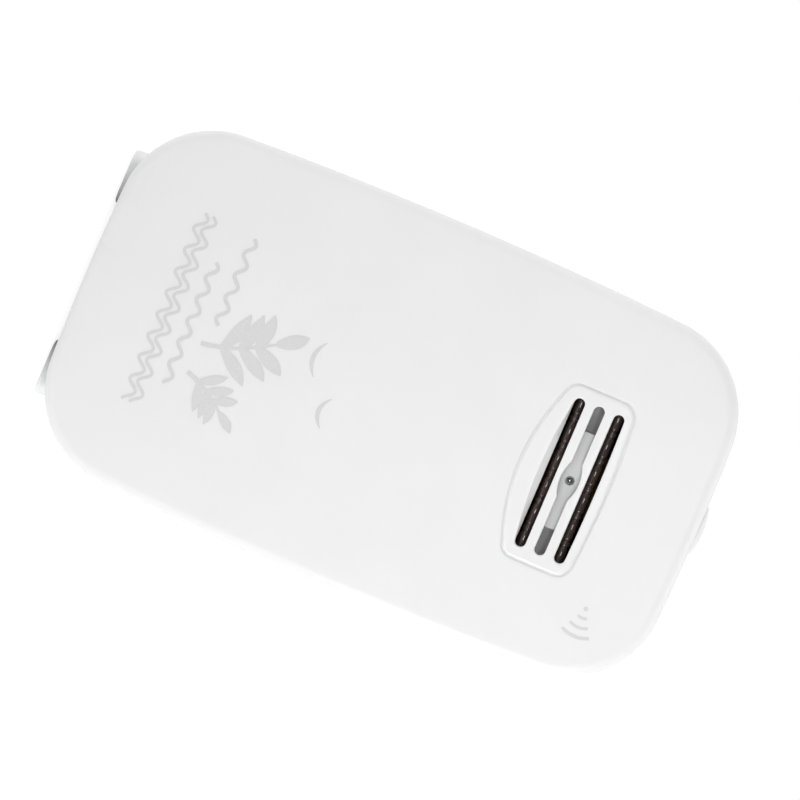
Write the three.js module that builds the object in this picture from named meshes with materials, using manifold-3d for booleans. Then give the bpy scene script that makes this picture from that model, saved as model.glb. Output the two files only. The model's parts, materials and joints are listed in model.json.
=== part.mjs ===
// Portable battery-powered ultrasonic pest repeller with an ion emitter, standing upright.
// Millimetres, +Z up, +X to the object's right, front face towards -Y.
// The origin is the bottom centre, on the surface that the feet stand on.

import * as THREE from 'three';
import { mergeVertices } from 'three/addons/utils/BufferGeometryUtils.js';
import Module from 'manifold-3d';

const wasm = await Module();
wasm.setup();

// ---------------------------------------------------------------- driving dimensions

// Housing
const WIDTH = 73.4;
const HEIGHT = 125.7;
const DEPTH = 38;
const FOOT_HEIGHT = 0.8;       // gap between the surface and the housing
const WALL = 2;
const GAP = 0.3;
const SPLIT_Y = -5;            // where the front shell meets the rear shell
const CORNER_R = 18.4;
const SIDE_ARC_R = 850;        // the long sides are very slightly convex
const END_ARC_R = 500;
const CROWN_X = 1.6;           // how far the front face falls back at its sides
const CROWN_Z = 1.8;           // how far it falls back at top and bottom
const FRONT_EDGE_R = 2.2;
const REAR_EDGE_R = 3.5;
const RIDGE = 2.1;             // how far the rear shell's tongue reaches into the front shell

// Sound outlet
const GRILLE_Z = 100.7;        // height of the middle slot, the horn and the emitter
const SLOT_PITCH = 4;
const SLOT_HALF = 15.1;
const SLOT_HEIGHT = 2.1;
const LENS = [5.3, 1.85];       // half width and half height of the middle slot's widening
const BEZEL_HALF = 17.4;
const BEZEL_TOP = 108.05;
const BEZEL_BOTTOM = 90.75;     // lowest point of the round bottom edge
const BEZEL_BOTTOM_R = 41.5;
const PIEZO_R = 10.5;

// Push button
const BUTTON_Y = 6.1;
const BUTTON_R = 5;
const BUTTON_TOP = 128;

// Electronics
const BOARD_Y = 0.2;           // front face of the circuit board
const BOARD_THICK = 1.6;
const BOARD_HALF = 20.5;
const BOARD_BOTTOM = 77;
const BOARD_TOP = 120;
const BOARD_HOLE_X = 17.5;
const BOARD_HOLES_Z = [80, 117];
const INLET_X = 25;
const INLET_Z = 84;

// Batteries, size AA
const CELL_R = 7.1;
const CELL_LENGTH = 50.5;
const CELL_PITCH = 14.5;
const CELL_Y = 9.35;
const NUB_R = 2.75;
const NUB_HEIGHT = 1.5;

// Battery bay and its door
const BAY_HALF = 29.2;
const BAY_FLOOR_Y = 1.8;
const BAY_BOTTOM = 15;
const BAY_TOP = 71;
const DOOR_HALF = 30.4;
const DOOR_TOP = 73;
const DOOR_INNER_Y = 17.2;
const HINGE_Y = 17.3;
const HINGE_Z = 13.6;
const HINGE_BEAD_R = 1.7;
const TRUNNION_R = 0.8;
const TRUNNION_END = 32.2;

// Feet and fasteners
const FOOT_X = 19.55;
const FOOT_WIDTH = 11.1;
const FOOT_LENGTH = 28;
const FOOT_Y = 2;
const FOOT_PEG_Y = 3;
const FOOT_PEG_R = 2;
const CASE_SCREWS = [[-20, 7.8], [20, 7.8], [-25.5, 116], [25.5, 116]];
const HORN_SCREWS = [[-23.2, GRILLE_Z - 6], [23.2, GRILLE_Z + 6]];

// ---------------------------------------------------------------- derived dimensions

const FRONT_Y = -DEPTH / 2;
const REAR_Y = DEPTH / 2;
const CENTRE_Z = FOOT_HEIGHT + HEIGHT / 2;
const TOP_Z = FOOT_HEIGHT + HEIGHT;
const BOARD_BACK = BOARD_Y + BOARD_THICK;

// ---------------------------------------------------------------- materials

const finish = (color, roughness, metalness = 0) =>
  new THREE.MeshStandardMaterial({ color, roughness, metalness });

const whitePlastic = finish(0xf4f4f2, 0.45);
const bezelWhite = finish(0xf3f3f1, 0.3);
const hornBrown = finish(0x2b201c, 0.25);
const greyPlastic = finish(0xc4c5c6, 0.4);
const footRubber = finish(0xdedfe0, 0.8);
const boardGreen = finish(0x1f5c3a, 0.5);
const blackPlastic = finish(0x1b1b1d, 0.5);
const steel = finish(0xb9bcc0, 0.35, 1);
const brass = finish(0xb8903f, 0.3, 1);
const ceramic = finish(0xece6d8, 0.6);
const cellWrap = finish(0x8a8f96, 0.35, 0.6);
const canSleeve = finish(0x26384f, 0.4);
const redInsulation = finish(0xb3241e, 0.5);
const blackInsulation = finish(0x202020, 0.5);
const whiteInsulation = finish(0xe6e6e2, 0.5);

// ---------------------------------------------------------------- solids and geometries

function toSolid(source) {
  const plain = source.index ? source.toNonIndexed() : source.clone();
  for (const name of Object.keys(plain.attributes)) {
    if (name !== 'position') plain.deleteAttribute(name);
  }
  const merged = mergeVertices(plain, 1e-5);
  const vertProperties = new Float32Array(merged.attributes.position.array);
  const triVerts = new Uint32Array(merged.index.array);
  const make = () => new wasm.Manifold(new wasm.Mesh({ numProp: 3, vertProperties, triVerts }));
  const solid = make();
  if (solid.volume() > 0) return solid;
  for (let i = 0; i < triVerts.length; i += 3) {
    const first = triVerts[i];
    triVerts[i] = triVerts[i + 1];
    triVerts[i + 1] = first;
  }
  return make();
}

function toGeometry(solid) {
  const mesh = solid.getMesh();
  const geometry = new THREE.BufferGeometry();
  geometry.setAttribute('position', new THREE.BufferAttribute(mesh.vertProperties, 3));
  geometry.setIndex(new THREE.BufferAttribute(mesh.triVerts, 1));
  geometry.computeVertexNormals();
  return geometry;
}

const join = (...solids) => solids.reduce((sum, next) => sum.add(next));
const cut = (body, ...tools) => tools.reduce((rest, tool) => rest.subtract(tool), body);

// A box between two opposite limits on each axis.
function block(x0, x1, y0, y1, z0, z1) {
  const box = new THREE.BoxGeometry(x1 - x0, y1 - y0, z1 - z0);
  return toSolid(box.translate((x0 + x1) / 2, (y0 + y1) / 2, (z0 + z1) / 2));
}

// Round bars along each axis, from one end coordinate to the other.
function rodX(y, z, radius, x0, x1, sides = 14) {
  const bar = new THREE.CylinderGeometry(radius, radius, x1 - x0, sides);
  return toSolid(bar.rotateZ(Math.PI / 2).translate((x0 + x1) / 2, y, z));
}

function rodY(x, z, radius, y0, y1, sides = 14) {
  const bar = new THREE.CylinderGeometry(radius, radius, y1 - y0, sides);
  return toSolid(bar.translate(x, (y0 + y1) / 2, z));
}

function rodZ(x, y, radius, z0, z1, sides = 14) {
  const bar = new THREE.CylinderGeometry(radius, radius, z1 - z0, sides);
  return toSolid(bar.rotateX(Math.PI / 2).translate(x, y, (z0 + z1) / 2));
}

// An outline drawn in X and Z, given thickness from y0 back to y1.
function slab(shape, y0, y1, curveSegments = 5) {
  const body = new THREE.ExtrudeGeometry(shape, { depth: y1 - y0, bevelEnabled: false, curveSegments });
  return toSolid(body.rotateX(Math.PI / 2).translate(0, y1, 0));
}

function roundedRect(x0, x1, z0, z1, radius) {
  const shape = new THREE.Shape();
  shape.moveTo(x1, z0 + radius);
  shape.lineTo(x1, z1 - radius);
  shape.absarc(x1 - radius, z1 - radius, radius, 0, Math.PI / 2);
  shape.lineTo(x0 + radius, z1);
  shape.absarc(x0 + radius, z1 - radius, radius, Math.PI / 2, Math.PI);
  shape.lineTo(x0, z0 + radius);
  shape.absarc(x0 + radius, z0 + radius, radius, Math.PI, 1.5 * Math.PI);
  shape.lineTo(x1 - radius, z0);
  shape.absarc(x1 - radius, z0 + radius, radius, 1.5 * Math.PI, 2 * Math.PI);
  return shape;
}

// The corner points of an outline, without those that repeat at the joins or at the end.
function distinctPoints(shape, divisions) {
  const points = shape.getPoints(divisions);
  return points.filter((point, i) => point.distanceTo(points[(i + 1) % points.length]) > 1e-4);
}

// A closed skin through rings of equal point count, fanned to a centre point at both ends.
function loft(rings, firstCentre, lastCentre) {
  const count = rings[0].length;
  const points = [...rings.flat(), firstCentre, lastCentre];
  const first = points.length - 2;
  const last = points.length - 1;
  const index = [];
  for (let i = 0; i < count; i++) {
    const next = (i + 1) % count;
    index.push(first, next, i);
    for (let r = 0; r < rings.length - 1; r++) {
      const here = r * count;
      const there = here + count;
      index.push(here + i, here + next, there + next, here + i, there + next, there + i);
    }
    const end = (rings.length - 1) * count;
    index.push(last, end + i, end + next);
  }
  const geometry = new THREE.BufferGeometry();
  geometry.setAttribute('position', new THREE.Float32BufferAttribute(points.flat(), 3));
  geometry.setIndex(index);
  return toSolid(geometry);
}

// A wire or tube of even thickness along a smooth path through the given points.
function wire(points, radius, steps, sides = 6) {
  const path = new THREE.CatmullRomCurve3(points.map(([x, y, z]) => new THREE.Vector3(x, y, z)));
  const section = new THREE.Shape();
  for (let i = 0; i < sides; i++) {
    const angle = (2 * Math.PI * i) / sides;
    const place = [radius * Math.cos(angle), radius * Math.sin(angle)];
    if (i === 0) section.moveTo(...place);
    else section.lineTo(...place);
  }
  return new THREE.ExtrudeGeometry(section, { steps, extrudePath: path, bevelEnabled: false });
}

// ---------------------------------------------------------------- housing outline

// The outline is made of eight arcs: two long sides, two ends and four corners. Moving the
// outline inwards keeps every arc's centre and takes the same amount off every radius.
const sideCentre = WIDTH / 2 - SIDE_ARC_R;
const endCentre = HEIGHT / 2 - END_ARC_R;

function cornerCentre() {
  const toSide = SIDE_ARC_R - CORNER_R;
  const toEnd = END_ARC_R - CORNER_R;
  const span = Math.hypot(sideCentre, endCentre);
  const along = (toSide ** 2 - toEnd ** 2 + span ** 2) / (2 * span);
  const across = Math.sqrt(toSide ** 2 - along ** 2);
  const unit = [-sideCentre / span, endCentre / span];
  return [sideCentre + unit[0] * along - unit[1] * across, unit[1] * along + unit[0] * across];
}

const [cornerX, cornerZ] = cornerCentre();
const sideTurn = Math.atan2(cornerZ, cornerX - sideCentre);
const endTurn = Math.atan2(cornerZ - endCentre, cornerX);

// Points of one quarter, from the middle of the right side to the middle of the top.
function quarter(inset) {
  const points = [];
  const arc = (cx, cz, radius, from, to, steps, keepLast) => {
    for (let i = 0; i < steps + (keepLast ? 1 : 0); i++) {
      const angle = from + ((to - from) * i) / steps;
      points.push([cx + radius * Math.cos(angle), cz + radius * Math.sin(angle)]);
    }
  };
  arc(sideCentre, 0, SIDE_ARC_R - inset, 0, sideTurn, 2, false);
  arc(cornerX, cornerZ, CORNER_R - inset, sideTurn, endTurn, 5, false);
  arc(0, endCentre, END_ARC_R - inset, endTurn, Math.PI / 2, 2, true);
  return points;
}

// The whole outline at an inset, as [x, z] points about the object's own axis.
function outline(inset) {
  const right = quarter(inset);
  const left = right.slice(0, -1).reverse().map(([x, z]) => [-x, z]);
  const upper = [...right, ...left];
  const lower = upper.slice(1, -1).reverse().map(([x, z]) => [x, -z]);
  return [...upper, ...lower].map(([x, z]) => [x, z + CENTRE_Z]);
}

const frontSurface = (x, z) =>
  FRONT_Y + CROWN_X * (x / (WIDTH / 2)) ** 2 + CROWN_Z * ((z - CENTRE_Z) / (HEIGHT / 2)) ** 2;

const EDGE_STEPS = 3;

const ringAt = (inset, depthOf) => outline(inset).map(([x, z]) => [x, depthOf(x, z), z]);

// Domed front, rounded edge and straight side back to endY. sink pushes the face back.
function frontBody(inset, edgeR, sink, endY) {
  const face = (x, z) => frontSurface(x, z) + sink;
  const rings = [];
  for (const scale of [0.4, 0.75]) {
    rings.push(outline(inset + edgeR).map(([x, z]) => {
      const place = [x * scale, CENTRE_Z + (z - CENTRE_Z) * scale];
      return [place[0], face(...place), place[1]];
    }));
  }
  for (let i = 0; i <= EDGE_STEPS; i++) {
    const turn = (i * Math.PI) / (2 * EDGE_STEPS);
    const back = edgeR * (1 - Math.cos(turn));
    rings.push(ringAt(inset + edgeR * (1 - Math.sin(turn)), (x, z) => face(x, z) + back));
  }
  rings.push(ringAt(inset, () => endY));
  return loft(rings, [0, face(0, CENTRE_Z), CENTRE_Z], [0, endY, CENTRE_Z]);
}

// Flat back, rounded edge and straight side forward to startY.
function rearBody(inset, edgeR, backY, startY) {
  const rings = [ringAt(inset, () => startY)];
  for (let i = EDGE_STEPS; i >= 0; i--) {
    const turn = (i * Math.PI) / (2 * EDGE_STEPS);
    const forward = edgeR * (1 - Math.cos(turn));
    rings.push(ringAt(inset + edgeR * (1 - Math.sin(turn)), () => backY - forward));
  }
  return loft(rings, [0, startY, CENTRE_Z], [0, backY, CENTRE_Z]);
}

// The housing's outline as a straight prism.
function outlinePrism(inset, y0, y1) {
  return loft([ringAt(inset, () => y0), ringAt(inset, () => y1)], [0, y0, CENTRE_Z], [0, y1, CENTRE_Z]);
}

// ---------------------------------------------------------------- sound outlet shapes

// The bezel's outline: arched top, straight sides and a deep round bottom, grown by an offset.
function bezelShape(grow) {
  const half = BEZEL_HALF + grow;
  const topR = 2.9 + grow;
  const lowR = 2.3 + grow;
  const bottomR = BEZEL_BOTTOM_R + grow;
  const arch = 0.65;
  const bottomCentre = BEZEL_BOTTOM + BEZEL_BOTTOM_R;
  const bottomAt = (x) => bottomCentre - Math.sqrt(bottomR ** 2 - x * x);
  const shape = new THREE.Shape();
  shape.moveTo(half, bottomAt(half) + lowR * 0.85);
  shape.lineTo(half, BEZEL_TOP - arch + grow - topR);
  shape.absarc(half - topR, BEZEL_TOP - arch + grow - topR, topR, 0, Math.PI / 2);
  shape.quadraticCurveTo(0, BEZEL_TOP + arch + grow, topR - half, BEZEL_TOP - arch + grow);
  shape.absarc(topR - half, BEZEL_TOP - arch + grow - topR, topR, Math.PI / 2, Math.PI);
  shape.lineTo(-half, bottomAt(half) + lowR * 0.85);
  const reach = half - lowR * 0.9;
  shape.quadraticCurveTo(-half, bottomAt(reach) + 0.35, -reach, bottomAt(reach));
  const turn = Math.asin(reach / bottomR);
  shape.absarc(0, bottomCentre, bottomR, 1.5 * Math.PI - turn, 1.5 * Math.PI + turn);
  shape.quadraticCurveTo(half, bottomAt(reach) + 0.35, half, bottomAt(half) + lowR * 0.85);
  return shape;
}

// One slot between two heights, with round ends. lift raises the middle of its upper edge and
// drop lowers the middle of its lower edge.
function slotShape(z, lift, drop, half = SLOT_HALF) {
  const radius = SLOT_HEIGHT / 2;
  const shape = new THREE.Shape();
  shape.absarc(half - radius, z, radius, -Math.PI / 2, Math.PI / 2);
  shape.quadraticCurveTo(0, z + radius + 2 * lift, radius - half, z + radius);
  shape.absarc(radius - half, z, radius, Math.PI / 2, 1.5 * Math.PI);
  shape.quadraticCurveTo(0, z - radius - 2 * drop, half - radius, z - radius);
  return shape;
}

// The lens-shaped widening of the middle slot, around the emitter.
function lensShape(halfWidth, halfHeight) {
  const radius = (halfWidth ** 2 + halfHeight ** 2) / (2 * halfHeight);
  const turn = Math.asin(halfWidth / radius);
  const shape = new THREE.Shape();
  shape.absarc(0, GRILLE_Z + halfHeight - radius, radius, Math.PI / 2 - turn, Math.PI / 2 + turn);
  shape.absarc(0, GRILLE_Z - halfHeight + radius, radius, 1.5 * Math.PI - turn, 1.5 * Math.PI + turn);
  return shape;
}

// ---------------------------------------------------------------- housing and bezel

const frontOuter = frontBody(0, FRONT_EDGE_R, 0, SPLIT_Y);
const rearOuter = rearBody(0, REAR_EDGE_R, REAR_Y, SPLIT_Y + GAP);
const tongueStep = 1.2;
const caseBossR = 3.2;
const caseBossEnd = -1.3;
const hornBossR = 2.6;
const hornBossEnd = -14.4;
const pocketFront = -16.8;      // back of the bezel's face, where the slots end

function frontShell() {
  const cavity = frontBody(WALL, FRONT_EDGE_R - WALL, WALL, SPLIT_Y + 1);
  const rebate = outlinePrism(tongueStep - GAP, SPLIT_Y + GAP - RIDGE, SPLIT_Y + 1);
  const opening = slab(bezelShape(0.2), FRONT_Y - 2, FRONT_Y + 8);
  let shell = cut(frontOuter, cavity, rebate, opening);
  const insideFace = frontBody(WALL / 2, FRONT_EDGE_R - WALL / 2, WALL / 2, 0);
  for (const [x, z] of CASE_SCREWS) {
    const boss = rodY(x, z, caseBossR, FRONT_Y, caseBossEnd).intersect(insideFace);
    shell = cut(shell.add(boss), rodY(x, z, 1.45, -13, 0, 12));
  }
  for (const [x, z] of HORN_SCREWS) {
    const boss = rodY(x, z, hornBossR, FRONT_Y, hornBossEnd).intersect(insideFace);
    shell = cut(shell.add(boss), rodY(x, z, 1.15, -16.7, -14, 12));
  }
  return shell;
}

const bayOuterHalf = BAY_HALF + 2.4;
const bayOuterTop = BAY_TOP + 3.4;
const bayOuterBottom = 10.7;
const ledgeY = DOOR_INNER_Y - GAP;
const postR = 2.2;
const ventCount = 6;

function rearShell() {
  const cavity = rearBody(WALL, REAR_EDGE_R - WALL, REAR_Y - WALL, SPLIT_Y);
  let shell = cut(rearOuter, cavity);

  // Tongue that enters the front shell's rebate.
  const tongueStart = SPLIT_Y + 2 * GAP - RIDGE;
  const tongue = cut(
    outlinePrism(tongueStep, tongueStart, SPLIT_Y + 1),
    outlinePrism(WALL, tongueStart - 1, SPLIT_Y + 2),
  );
  shell = shell.add(tongue);

  // Battery bay, screw bosses, board posts and hinge blocks, all kept inside the outer skin.
  const added = [
    block(-bayOuterHalf, bayOuterHalf, BOARD_Y, REAR_Y, bayOuterBottom, bayOuterTop),
    block(-33, -DOOR_HALF, 15.4, 18.6, 11.4, 15.8),
    block(DOOR_HALF, 33, 15.4, 18.6, 11.4, 15.8),
  ];
  for (const [x, z] of CASE_SCREWS) added.push(rodY(x, z, 4, caseBossEnd + GAP, REAR_Y - 1));
  for (const z of BOARD_HOLES_Z) {
    for (const x of [-BOARD_HOLE_X, BOARD_HOLE_X]) {
      added.push(rodY(x, z, postR, BOARD_BACK + GAP, REAR_Y - 1, 12));
    }
  }
  shell = shell.add(join(...added).intersect(rearOuter));

  const doorOpening = DOOR_HALF + GAP;
  const removed = [
    // Bay for the four cells, opening for the door and its recess.
    block(-BAY_HALF, BAY_HALF, BAY_FLOOR_Y, REAR_Y + 1, BAY_BOTTOM, BAY_TOP),
    block(-doorOpening, doorOpening, ledgeY, REAR_Y + 1, HINGE_Z - 2, DOOR_TOP + GAP),
    // Round socket for the hinge bead and the two trunnion holes.
    rodX(HINGE_Y, HINGE_Z, HINGE_BEAD_R + GAP, -doorOpening, doorOpening),
    rodX(HINGE_Y, HINGE_Z, TRUNNION_R + 0.25, -TRUNNION_END - 0.4, TRUNNION_END + 0.4, 12),
    // Pocket behind the latch, and the finger scoop above the door.
    block(-5, 5, 15.2, REAR_Y + 1, BAY_TOP - 1, DOOR_TOP + 0.4),
    toSolid(new THREE.SphereGeometry(9, 18, 10).translate(0, REAR_Y + 7.8, DOOR_TOP + 3.5)),
    // Push button and power inlet.
    rodZ(0, BUTTON_Y, BUTTON_R + GAP, TOP_Z - 5, TOP_Z + 2, 32),
    rodY(INLET_X, INLET_Z, 4.5, REAR_Y - 5, REAR_Y + 1, 24),
  ];
  // Slots in the bay's top wall for the tabs of the end contacts.
  for (const x of [-1.5 * CELL_PITCH, 1.5 * CELL_PITCH]) {
    removed.push(block(x - 1.8, x + 1.8, 2.3, 3.3, BAY_TOP - 1, bayOuterTop + 1));
  }
  for (const [x, z] of CASE_SCREWS) {
    removed.push(rodY(x, z, 1.5, -3, 5, 12));
    removed.push(rodY(x, z, 2.6, 1, REAR_Y + 1));
  }
  for (const z of BOARD_HOLES_Z) {
    for (const x of [-BOARD_HOLE_X, BOARD_HOLE_X]) {
      removed.push(rodY(x, z, 1.15, 0, 8, 12));
    }
  }
  for (const x of [-FOOT_X, FOOT_X]) {
    removed.push(rodZ(x, FOOT_PEG_Y, FOOT_PEG_R + GAP, 0, 4.5, 12));
  }
  // Air vents: a ladder of rounded slots below the button.
  for (let i = 0; i < ventCount; i++) {
    const z = 104 + 2.8 * i;
    removed.push(slab(roundedRect(-9, 9, z - 0.8, z + 0.8, 0.75), REAR_Y - 4, REAR_Y + 1, 2));
  }
  return cut(shell, ...removed);
}

function grilleBezel() {
  const proud = frontOuter.translate(0, -GAP, 0);
  const front = slab(bezelShape(0), FRONT_Y - 2, hornBossEnd).intersect(proud);
  const flange = slab(bezelShape(1.8), hornBossEnd - 1, hornBossEnd);
  const pocket = slab(bezelShape(-0.9), pocketFront, 0);
  const through = (shape) => slab(shape, FRONT_Y - 2, 0);
  return cut(
    join(front, flange),
    pocket,
    through(slotShape(GRILLE_Z + SLOT_PITCH, 0.26, 0)),
    through(slotShape(GRILLE_Z, 0, 0)),
    through(lensShape(...LENS)),
    through(slotShape(GRILLE_Z - SLOT_PITCH, 0, 1.1)),
  );
}

function foot(side) {
  const x = side * FOOT_X;
  const halfX = FOOT_WIDTH / 2;
  const halfY = FOOT_LENGTH / 2;
  const plan = (inset) => {
    const front = FOOT_Y - halfY + inset;
    const back = FOOT_Y + halfY - inset;
    const shape = roundedRect(x - halfX + inset, x + halfX - inset, front, back, 4);
    return distinctPoints(shape, 3);
  };
  const level = (inset, z) => plan(inset).map((point) => [point.x, point.y, z]);
  const rings = [level(0.9, 0), level(0.2, 0.7), level(0, 1.4), level(0, 6)];
  const body = loft(rings, [x, FOOT_Y, 0], [x, FOOT_Y, 6]);
  const seat = outlinePrism(0, -DEPTH, DEPTH).translate(0, 0, -GAP);
  return join(cut(body, seat), rodZ(x, FOOT_PEG_Y, FOOT_PEG_R, 0.3, 4.2, 12));
}

function powerButton() {
  const stem = BUTTON_TOP - 7.1;
  const rim = TOP_Z - WALL - 0.4;
  const capEdge = BUTTON_TOP - 1.2;
  const profile = [
    [0, stem + 2], [1.6, stem + 2], [1.6, stem], [2.4, stem], [2.4, rim - 1.1],
    [BUTTON_R + 1.1, rim - 1.1], [BUTTON_R + 1.1, rim], [BUTTON_R, rim], [BUTTON_R, capEdge],
  ];
  for (let i = 1; i <= 4; i++) {
    const turn = (i * Math.PI) / 8;
    profile.push([BUTTON_R * Math.cos(turn), capEdge + (BUTTON_TOP - capEdge) * Math.sin(turn)]);
  }
  const points = profile.map(([radius, z]) => new THREE.Vector2(Math.max(radius, 0), z));
  points[points.length - 1].x = 0;
  return new THREE.LatheGeometry(points, 20).rotateX(Math.PI / 2).translate(0, BUTTON_Y, 0);
}

function batteryDoor() {
  const plate = slab(roundedRect(-DOOR_HALF, DOOR_HALF, HINGE_Z - 4, DOOR_TOP, 3), DOOR_INNER_Y, REAR_Y);
  const door = join(
    cut(plate, block(-40, 40, 10, 30, 0, HINGE_Z)),
    rodX(HINGE_Y, HINGE_Z, HINGE_BEAD_R, -DOOR_HALF, DOOR_HALF),
    rodX(HINGE_Y, HINGE_Z, TRUNNION_R, -TRUNNION_END, TRUNNION_END, 12),
    block(-4.5, 4.5, 15.6, DOOR_INNER_Y + 0.5, 71.2, 72.9),
  );
  const tools = [];
  // Slits on both sides of the latch tongue, and the grip grooves across it.
  for (const x of [-7.5, 7.5]) tools.push(block(x - 0.4, x + 0.4, 15, 20, 62, 74));
  for (let i = 0; i < 5; i++) {
    const z = 64 + 1.7 * i;
    tools.push(block(-5.5, 5.5, REAR_Y - 0.5, REAR_Y + 1, z - 0.4, z + 0.4));
  }
  return cut(door, ...tools);
}

// ---------------------------------------------------------------- emitter, horn and transducer

const holderPlate = { left: -19.5, right: 17.3, half: 1.4, front: -13.4, back: -12 };

function emitterHolder() {
  const { left, right, half, front, back } = holderPlate;
  const bar = slab(roundedRect(-9.8, 9.8, GRILLE_Z - 1.9, GRILLE_Z + 1.9, 0.4), -16.4, front + 0.2, 2);
  const body = join(
    bar,
    rodY(0, GRILLE_Z, 2.6, -16.4, front + 0.2, 20),
    block(left, right, front, back, GRILLE_Z - half, GRILLE_Z + half),
  );
  return cut(body, rodY(0, GRILLE_Z, 0.85, -20, 0, 12));
}

function emitterPin() {
  const point = new THREE.CylinderGeometry(0.5, 0.15, 0.8, 10).translate(0, -15.7, GRILLE_Z);
  return join(toSolid(point), rodY(0, GRILLE_Z, 0.5, -15.3, -12.7, 10));
}

const hornFront = hornBossEnd + GAP;
const hornHalfX = 18.6;
const hornHalfZ = 7.8;
const canFront = -8.5;
const canBack = -3.4;
const earThick = 1.8;
const railR = 0.9;
const railHalf = 16.2;
const railY = pocketFront + GAP + railR;
const railRise = 3.8;          // height of each rail from the middle slot

// A ring between a rounded rectangle and a circle, at one depth of the horn's flare.
function flareRing(halfX, halfZ, roundness, y) {
  const ring = [];
  const count = 24;
  for (let i = 0; i < count; i++) {
    const angle = (2 * Math.PI * i) / count;
    const shaped = (value) => Math.sign(value) * Math.abs(value) ** roundness;
    ring.push([halfX * shaped(Math.cos(angle)), y, GRILLE_Z + halfZ * shaped(Math.sin(angle))]);
  }
  return ring;
}

function ultrasonicHorn() {
  const bodyShape = roundedRect(-hornHalfX, hornHalfX, GRILLE_Z - hornHalfZ, GRILLE_Z + hornHalfZ, 3);
  let horn = join(slab(bodyShape, hornFront, -8), rodY(0, GRILLE_Z, 12, canFront, canBack, 28));
  for (const [x, z] of HORN_SCREWS) {
    const side = Math.sign(x);
    const inner = side * (hornHalfX - 1);
    const outer = x + side * 3.4;
    const [low, high] = inner < outer ? [inner, outer] : [outer, inner];
    const ear = block(low, high, hornFront, hornFront + earThick, z - 2.8, z + 2.8);
    horn = cut(horn.add(ear), rodY(x, z, 1.4, -16, -8, 12));
  }
  const flare = loft(
    [
      flareRing(15.8, 6.2, 0.35, hornFront - 1),
      flareRing(15.6, 6.2, 0.4, hornFront + 1),
      flareRing(11.5, 6.8, 0.7, -10.5),
      flareRing(8, 8, 1, -7),
      flareRing(8, 8, 1, -5),
    ],
    [0, hornFront - 1, GRILLE_Z],
    [0, -5, GRILLE_Z],
  );
  // The holder's plate lies in a groove that is open at the left, where its lead comes out.
  const { half, back, right } = holderPlate;
  const groove = block(-30, right + GAP, -20, back + GAP, GRILLE_Z - half - GAP, GRILLE_Z + half + GAP);
  horn = cut(horn, flare, rodY(0, GRILLE_Z, PIEZO_R + GAP, -5.4, 0, 28), groove);
  // Two rails behind the outer slots, each on two short posts on the horn's rim.
  for (const z of [GRILLE_Z - railRise, GRILLE_Z + railRise]) {
    const rail = rodX(railY, z, railR, -railHalf, railHalf, 8);
    const posts = [-1, 1].map((side) => {
      const [low, high] = side > 0 ? [15.6, railHalf] : [-railHalf, -15.6];
      return block(low, high, railY, hornFront + 1, z - 0.6, z + 0.6);
    });
    horn = join(horn, rail, ...posts);
  }
  return horn;
}

// A screw along Y: a flat round head and a shank in front of it.
function screwTowardsFront([x, z], headR, shankR, headFront, headBack, tip) {
  return join(rodY(x, z, headR, headFront, headBack, 14), rodY(x, z, shankR, tip, headFront + 0.1, 8));
}

// ---------------------------------------------------------------- circuit board and what is on it

function mainBoard() {
  const board = block(-BOARD_HALF, BOARD_HALF, BOARD_Y, BOARD_BACK, BOARD_BOTTOM, BOARD_TOP);
  const holes = [];
  for (const z of BOARD_HOLES_Z) {
    for (const x of [-BOARD_HOLE_X, BOARD_HOLE_X]) holes.push(rodY(x, z, 1.3, -1, 4, 12));
  }
  return cut(board, ...holes);
}

function boardScrew(x, z) {
  return join(rodY(x, z, 1.9, BOARD_Y - 1.6, BOARD_Y - GAP, 12), rodY(x, z, 0.95, BOARD_Y - 0.4, 7.5, 8));
}

const behindBoard = BOARD_BACK + GAP;

function driverCoil() {
  const core = [[0, 0], [5.6, 0], [5.6, 1.2], [4.6, 2], [4.6, 8], [5.6, 8.8], [5.6, 10], [0, 10]];
  const points = core.map(([radius, along]) => new THREE.Vector2(radius, along));
  return new THREE.LatheGeometry(points, 16).translate(9.5, behindBoard, 100);
}

function capacitor(x, z) {
  const points = [[0, 0], [3.15, 0], [3.15, 9.6], [2.95, 9.9], [3.15, 10.2], [3.15, 11], [0, 11]];
  const profile = points.map(([radius, along]) => new THREE.Vector2(radius, along));
  return new THREE.LatheGeometry(profile, 14).translate(x, behindBoard, z);
}

function switchBody() {
  const body = slab(roundedRect(-4, 4, 109, 119, 0.5), behindBoard, behindBoard + 8, 2);
  return cut(body, rodZ(0, BUTTON_Y, 1.6, 115.7, 120, 12));
}

function dcInlet() {
  const body = block(INLET_X - 4.5, INLET_X + 4.5, 6, 16.7, INLET_Z - 4.5, INLET_Z + 4.5);
  const collar = rodY(INLET_X, INLET_Z, 4.2, 16.5, REAR_Y - GAP, 24);
  return cut(join(body, collar), rodY(INLET_X, INLET_Z, 2.9, 8, REAR_Y + 1, 20));
}

// ---------------------------------------------------------------- cells and contacts

const contactGap = 0.3;
const plateThick = 0.4;
const springHeight = 3;
const floorPlateZ = BAY_BOTTOM + contactGap;
const ceilingPlateZ = BAY_TOP - contactGap - plateThick;

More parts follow.
